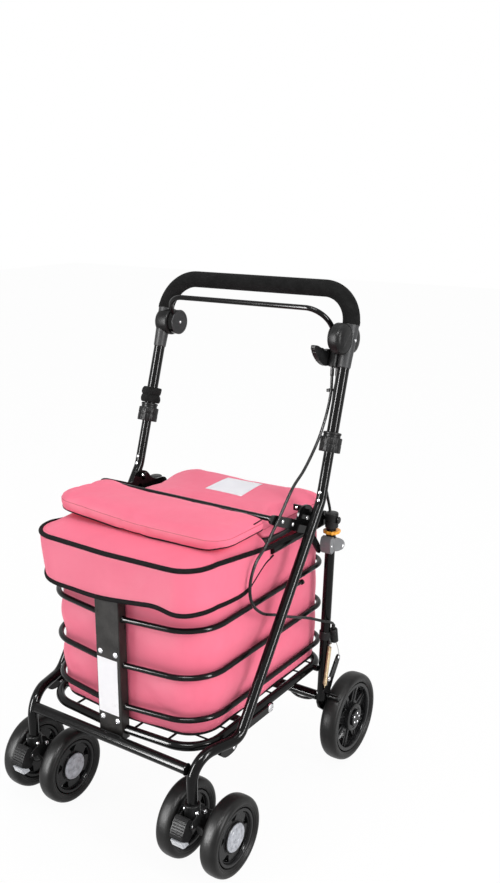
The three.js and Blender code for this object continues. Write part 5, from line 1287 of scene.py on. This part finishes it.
def stuffed(rows, cell, held_below, most):
    """(points, faces) of a pad's cover after some frames of cloth under pressure: rebuilt in even
    cells, held fast below a height, and moved by no more than most millimetres."""
    frames, slack = 20, 0.004
    draft = bpy.data.objects.new("cover_draft", mesh_of("cover_draft", [skin(rows)]))
    bpy.context.scene.collection.objects.link(draft)
    even = draft.modifiers.new("even", "REMESH")
    even.mode = "VOXEL"
    even.voxel_size = cell / 1000
    bpy.context.view_layer.update()
    evaluated = draft.evaluated_get(bpy.context.evaluated_depsgraph_get())
    cover = bpy.data.objects.new("cover_even", bpy.data.meshes.new_from_object(evaluated))
    bpy.context.scene.collection.objects.link(cover)
    before = np.empty(len(cover.data.vertices) * 3, np.float32)
    cover.data.vertices.foreach_get("co", before)
    before = before.reshape(-1, 3)
    held = cover.vertex_groups.new(name="held")
    held.add(np.flatnonzero(before[:, 2] < held_below / 1000).tolist(), 1.0, "REPLACE")
    blown = cover.modifiers.new("blown", "CLOTH")
    blown.settings.quality = 6
    blown.settings.mass = 0.25
    blown.settings.tension_stiffness = blown.settings.compression_stiffness = 18
    blown.settings.shear_stiffness = 6
    blown.settings.bending_stiffness = 3.0
    blown.settings.shrink_min = -slack
    blown.settings.use_pressure = True
    blown.settings.uniform_pressure_force = 4
    blown.settings.vertex_group_mass = "held"
    blown.settings.effector_weights.gravity = 0
    blown.point_cache.frame_start, blown.point_cache.frame_end = 1, frames
    for number in range(1, frames + 1):
        bpy.context.scene.frame_set(number)
    result = cover.evaluated_get(bpy.context.evaluated_depsgraph_get()).data
    after = np.empty(len(before) * 3, np.float32)
    result.vertices.foreach_get("co", after)
    move = after.reshape(-1, 3) - before
    far = np.linalg.norm(move, axis=1, keepdims=True) * 1000
    share = np.minimum(1, most / np.maximum(far, 1e-6))
    points = (before + move * share) * 1000 + (0, footprint_middle, 0)
    quads = np.empty(len(cover.data.loops), np.int32)
    cover.data.loops.foreach_get("vertex_index", quads)
    bpy.context.scene.frame_set(1)
    bpy.data.objects.remove(draft)
    bpy.data.objects.remove(cover)
    return points.astype(float), [quads.reshape(-1, 4)]


def cushion(name, rows, shift, held_below, most, body):
    """A stuffed cover as a smooth piece, and the surface its seams are laid on."""
    points, faces = stuffed(rows, 5, held_below, most)
    points = shift(points)
    made = cad_piece(name, [(points, faces)], vinyl, body, "vinyl", sharp=180)
    even = made.modifiers.new("even", "SUBSURF")
    even.levels = even.render_levels = 1
    return BVHTree.FromPolygons(points.tolist(), [face for rows in faces for face in rows.tolist()])


def laid(surface_tree, points, out=0.0):
    """Each point moved to the nearest place on a surface, then out along its normal."""
    found = [surface_tree.find_nearest(point) for point in points.tolist()]
    return np.array([place for place, *_ in found]) + out * np.array([normal for _, normal, *_ in found])


def sewn(surface_tree, points, out):
    """A closed seam laid on a surface. Its height is averaged over reach points each way, so that
    it runs straight, and it is laid again."""
    reach = 20
    first = laid(surface_tree, points)
    around = np.r_[first[-reach:], first, first[:reach]]
    first[:, 2] = np.convolve(around[:, 2], np.ones(2 * reach + 1) / (2 * reach + 1), "valid")
    return laid(surface_tree, first, out)


def seam_piece(name, line, radius, steps, finish, body):
    """A round thread or piping along a closed line."""
    piece(name, [tube(traced(line, True), radius, steps, loop=True)], finish, body, "vinyl")


def lifted(points):
    """The flap's front left corner stands up by 9 mm and in by 4 mm, its left end is fuller, its
    front edge hangs down and its top is slightly uneven."""
    x, y, z = points.T
    share = eased(205, 95, y) * eased(60, -185, x)
    uneven = 0.8 * np.sin(x / 33) * np.sin(y / 21) * (z > 572)
    fuller = 4.5 * eased(-110, -186, x) * eased(566, 576, z)
    fuller += 4.5 * eased(-70, -150, x) * eased(90, 195, y) * eased(566, 576, z)
    hang = 4 * eased(92, 70, y) * eased(568, 557, z)
    return points + np.c_[-4 * share, np.zeros(len(points)), 9 * share + uneven + fuller - hang]


thread = surface(
    "dark_pink_seam", (0.6, 0.075, 0.13), 0.7, (0.52, 0.06, 0.11), patch=300,
    grain=((noise, 1800, 0.0001),),
)
flap_shape = (187, 69, 5, 208.5, 42, 12)
flap_rows = pad_rows(flap_shape, bottom=556.2, box_height=18.6, crown=6, roll=4, draw=1.2)
flap_tree = cushion(
    "flap_padded", flap_rows, lifted, held_below=557.4, most=3.5, body="flap",
)
flap_edge, flap_out = plan(*flap_shape)
seam = sewn(flap_tree, lifted(at_height(flap_edge + flap_out * 4, 573.6)), -0.25)
seam_piece("flap_seam", seam, 0.65, 8, thread, "flap")
edge = laid(flap_tree, lifted(at_height(flap_edge + flap_out * 0.5, 557.2)), -0.3)
dash = laid(flap_tree, at_height(np.linspace((183, 176), (182, 200), 14), 574.0), 0.3)
piece("flap_dash", [tube(traced(dash), 1.1, 8)], tape, "flap", "vinyl")
seam_piece("flap_piping", edge, 1.2, 10, tape, "flap")

# Seat board and seat pad
# A flat black board on the seat frame, hinged behind the bar, and a thick soft pad on it in the
# pink cloth. Its sides are pulled down to the board and its top is crowned.

board_black = surface("black_seat_board", (0.01, 0.01, 0.01), 0.7, patch=60, grain=((noise, 900, 0.0001),))
board_points, _ = plan(
    half_width=173.5, front=228.2, bow=0.8, back=444, front_bend=14, back_bend=28,
)
board = [at_height(board_points, z) for z in (518.4, 525.2)]
cad_piece("seat_board_flat", [skin(board)], board_black, "seat", "board", bevel=1.0)


def settled(points):
    """The seat's top is slightly uneven and drawn down along its front edge, its front is narrower
    and its rear right corner stands up."""
    x, y, z = points.T
    top = z > 546
    rise = top * (0.9 * np.sin(x / 41 + 1) * np.sin(y / 37) - 1.5 * hump(y, 236, 8))
    narrow = 1 - 0.045 * eased(420, 300, y) * eased(528, 545, z)
    corner = 6 * eased(80, 165, x) * eased(370, 445, y) * eased(530, 555, z)
    return np.c_[x * narrow, y, z + rise + corner]


seat_shape = (170, 230.2, 0.8, 450, 14, 30)
seat_rows = pad_rows(seat_shape, bottom=526.4, box_height=19, crown=14, roll=4, draw=1.0)
seat_tree = cushion(
    "seat_pad_padded", seat_rows, settled, held_below=527.6, most=4.5, body="seat",
)
seat_edge, seat_out = plan(*seat_shape)
seam = sewn(seat_tree, settled(at_height(seat_edge + seat_out * 4, 545.0)), -0.25)
seam_piece("seat_seam", seam, 0.65, 8, thread, "seat")

# Seat patch
# A bare woven patch, sewn flat on the seat a little to the right of its middle, with a row of
# stitches inside its edge.

patch_cloth = cloth(
    "woven_patch", (0.9, 0.89, 0.93), (0.82, 0.81, 0.86), roughness=0.7, weave=0.0002, folds=0.0004,
)
patch_corners = np.array([(-20, 312), (-28, 399), (51, 405), (64, 311)], float)
above_seat = 562.0
u, v = np.linspace(0, 1, 25)[:, None, None], np.linspace(0, 1, 25)[:, None]
a, b, c, d = patch_corners
flat = (1 - u) * ((1 - v) * a + v * b) + u * ((1 - v) * d + v * c)
laid_patch = laid(seat_tree, at_height(flat.reshape(-1, 2), above_seat), 0.5)
sheet_piece("seat_patch_woven", laid_patch.reshape(25, 25, 3), patch_cloth, "seat", 0.7)
inset = patch_corners + (patch_corners.mean(axis=0) - patch_corners) * 0.07
stitches = np.vstack(
    [np.linspace(p, q, 40, endpoint=False) for p, q in zip(inset, np.roll(inset, -1, axis=0))],
)
stitch_line = traced(laid(seat_tree, at_height(stitches, above_seat), 0.95), True)
piece("seat_patch_stitches", [tube(stitch_line, 0.45, 6, loop=True)], patch_cloth, "seat")

# Camera, floor and light
# The camera stands where the photograph was taken from. Three soft lamps and a pale world light the
# rollator on a white floor; three more lamps show only in reflections, as streaks on the gloss.

camera_data = bpy.data.cameras.new("camera")
camera_data.lens = 39.72
camera = bpy.data.objects.new("camera", camera_data)
bpy.context.scene.collection.objects.link(camera)
azimuth, elevation = math.radians(34.11), math.radians(15.0)
camera.location = (1.0575, -1.3698, 1.1422)
level = math.cos(elevation)
back_way = Vector((math.sin(azimuth) * level, -math.cos(azimuth) * level, math.sin(elevation)))
camera.rotation_mode = "QUATERNION"
camera.rotation_quaternion = (-back_way).to_track_quat("-Z", "Y")
bpy.context.scene.camera = camera

floor_reach = 9.0
floor_mesh = bpy.data.meshes.new("floor")
floor_corners = [(x * floor_reach, y * floor_reach, 0) for x, y in ((-1, -1), (1, -1), (1, 1), (-1, 1))]
floor_mesh.from_pydata(floor_corners, [], [(0, 1, 2, 3)])
floor = bpy.data.objects.new("floor", floor_mesh)
bpy.context.scene.collection.objects.link(floor)
floor_finish = surface("pale_floor", (0.95, 0.95, 0.95), 0.75, (0.94, 0.94, 0.94), patch=3)


def white_to(tree, lit, socket, share, rays):
    """Where any of these kinds of ray arrives, share of lit gives way to white light of strength 1."""
    kind = "Emission" if socket.node.type == "OUTPUT_MATERIAL" else "Background"
    white = tree.nodes.new(f"ShaderNode{kind}")
    white.inputs["Color"].default_value = (1, 1, 1, 1)
    white.inputs["Strength"].default_value = 1.0
    path = tree.nodes.new("ShaderNodeLightPath")
    arrives = path.outputs[rays[0]]
    for ray in rays[1:]:
        either = tree.nodes.new("ShaderNodeMath")
        either.operation = "MAXIMUM"
        tree.links.new(arrives, either.inputs[0])
        tree.links.new(path.outputs[ray], either.inputs[1])
        arrives = either.outputs[0]
    part = tree.nodes.new("ShaderNodeMath")
    part.operation = "MULTIPLY"
    tree.links.new(arrives, part.inputs[0])
    part.inputs[1].default_value = share
    choose = tree.nodes.new("ShaderNodeMixShader")
    tree.links.new(part.outputs[0], choose.inputs["Fac"])
    tree.links.new(lit, choose.inputs[1])
    tree.links.new(white.outputs[0], choose.inputs[2])
    tree.links.new(choose.outputs["Shader"], socket)


floor_tree = floor_finish.node_tree
background_rays = ("Is Camera Ray", "Is Glossy Ray", "Is Transmission Ray")
white_to(
    floor_tree, floor_tree.nodes["Principled BSDF"].outputs["BSDF"],
    floor_tree.nodes["Material Output"].inputs["Surface"], 0.95, background_rays,
)
floor_mesh.materials.append(floor_finish)
floor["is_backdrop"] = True


def softbox(name, place, target, size, power, mirrored_only=False):
    """A flat lamp at a place, turned to its target. One that is mirrored only shows as a streak on
    gloss and lights nothing."""
    lamp = bpy.data.lights.new(name, "AREA")
    lamp.shape = "RECTANGLE"
    lamp.size, lamp.size_y = size
    lamp.energy = power
    made = bpy.data.objects.new(name, lamp)
    made.visible_diffuse = not mirrored_only
    bpy.context.scene.collection.objects.link(made)
    made.location = place
    made.rotation_mode = "QUATERNION"
    made.rotation_quaternion = (Vector(target) - Vector(place)).to_track_quat("-Z", "Y")


softbox("key", (-1.5, -2.5, 2.2), (0, 0, 0.5), (1.1, 1.1), 20)
softbox("side", (2.9, -0.4, 1.7), (0, 0, 0.5), (0.7, 1.8), 42)
softbox("top", (0.2, 0.5, 3.4), (0, 0, 0.3), (1.8, 1.8), 22)
softbox("left_streak", (-1.3, -2.7, 1.1), (0, 0, 0.5), (0.5, 2.2), 260, mirrored_only=True)
softbox("right_streak", (2.9, -0.4, 1.2), (0, 0, 0.5), (0.3, 2.0), 90, mirrored_only=True)
softbox("high_streak", (0.7, -1.6, 3.0), (0, 0, 0.4), (1.3, 0.4), 110, mirrored_only=True)

world = bpy.data.worlds.new("studio")
bpy.context.scene.world = world
world.use_nodes = True
tree = world.node_tree
light = tree.nodes["Background"]
light.inputs["Color"].default_value = (1, 1, 1, 1)
light.inputs["Strength"].default_value = 0.64
white_to(
    tree, light.outputs["Background"], tree.nodes["World Output"].inputs["Surface"], 1.0,
    background_rays,
)
bpy.context.scene.view_settings.view_transform = "Standard"

low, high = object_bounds()
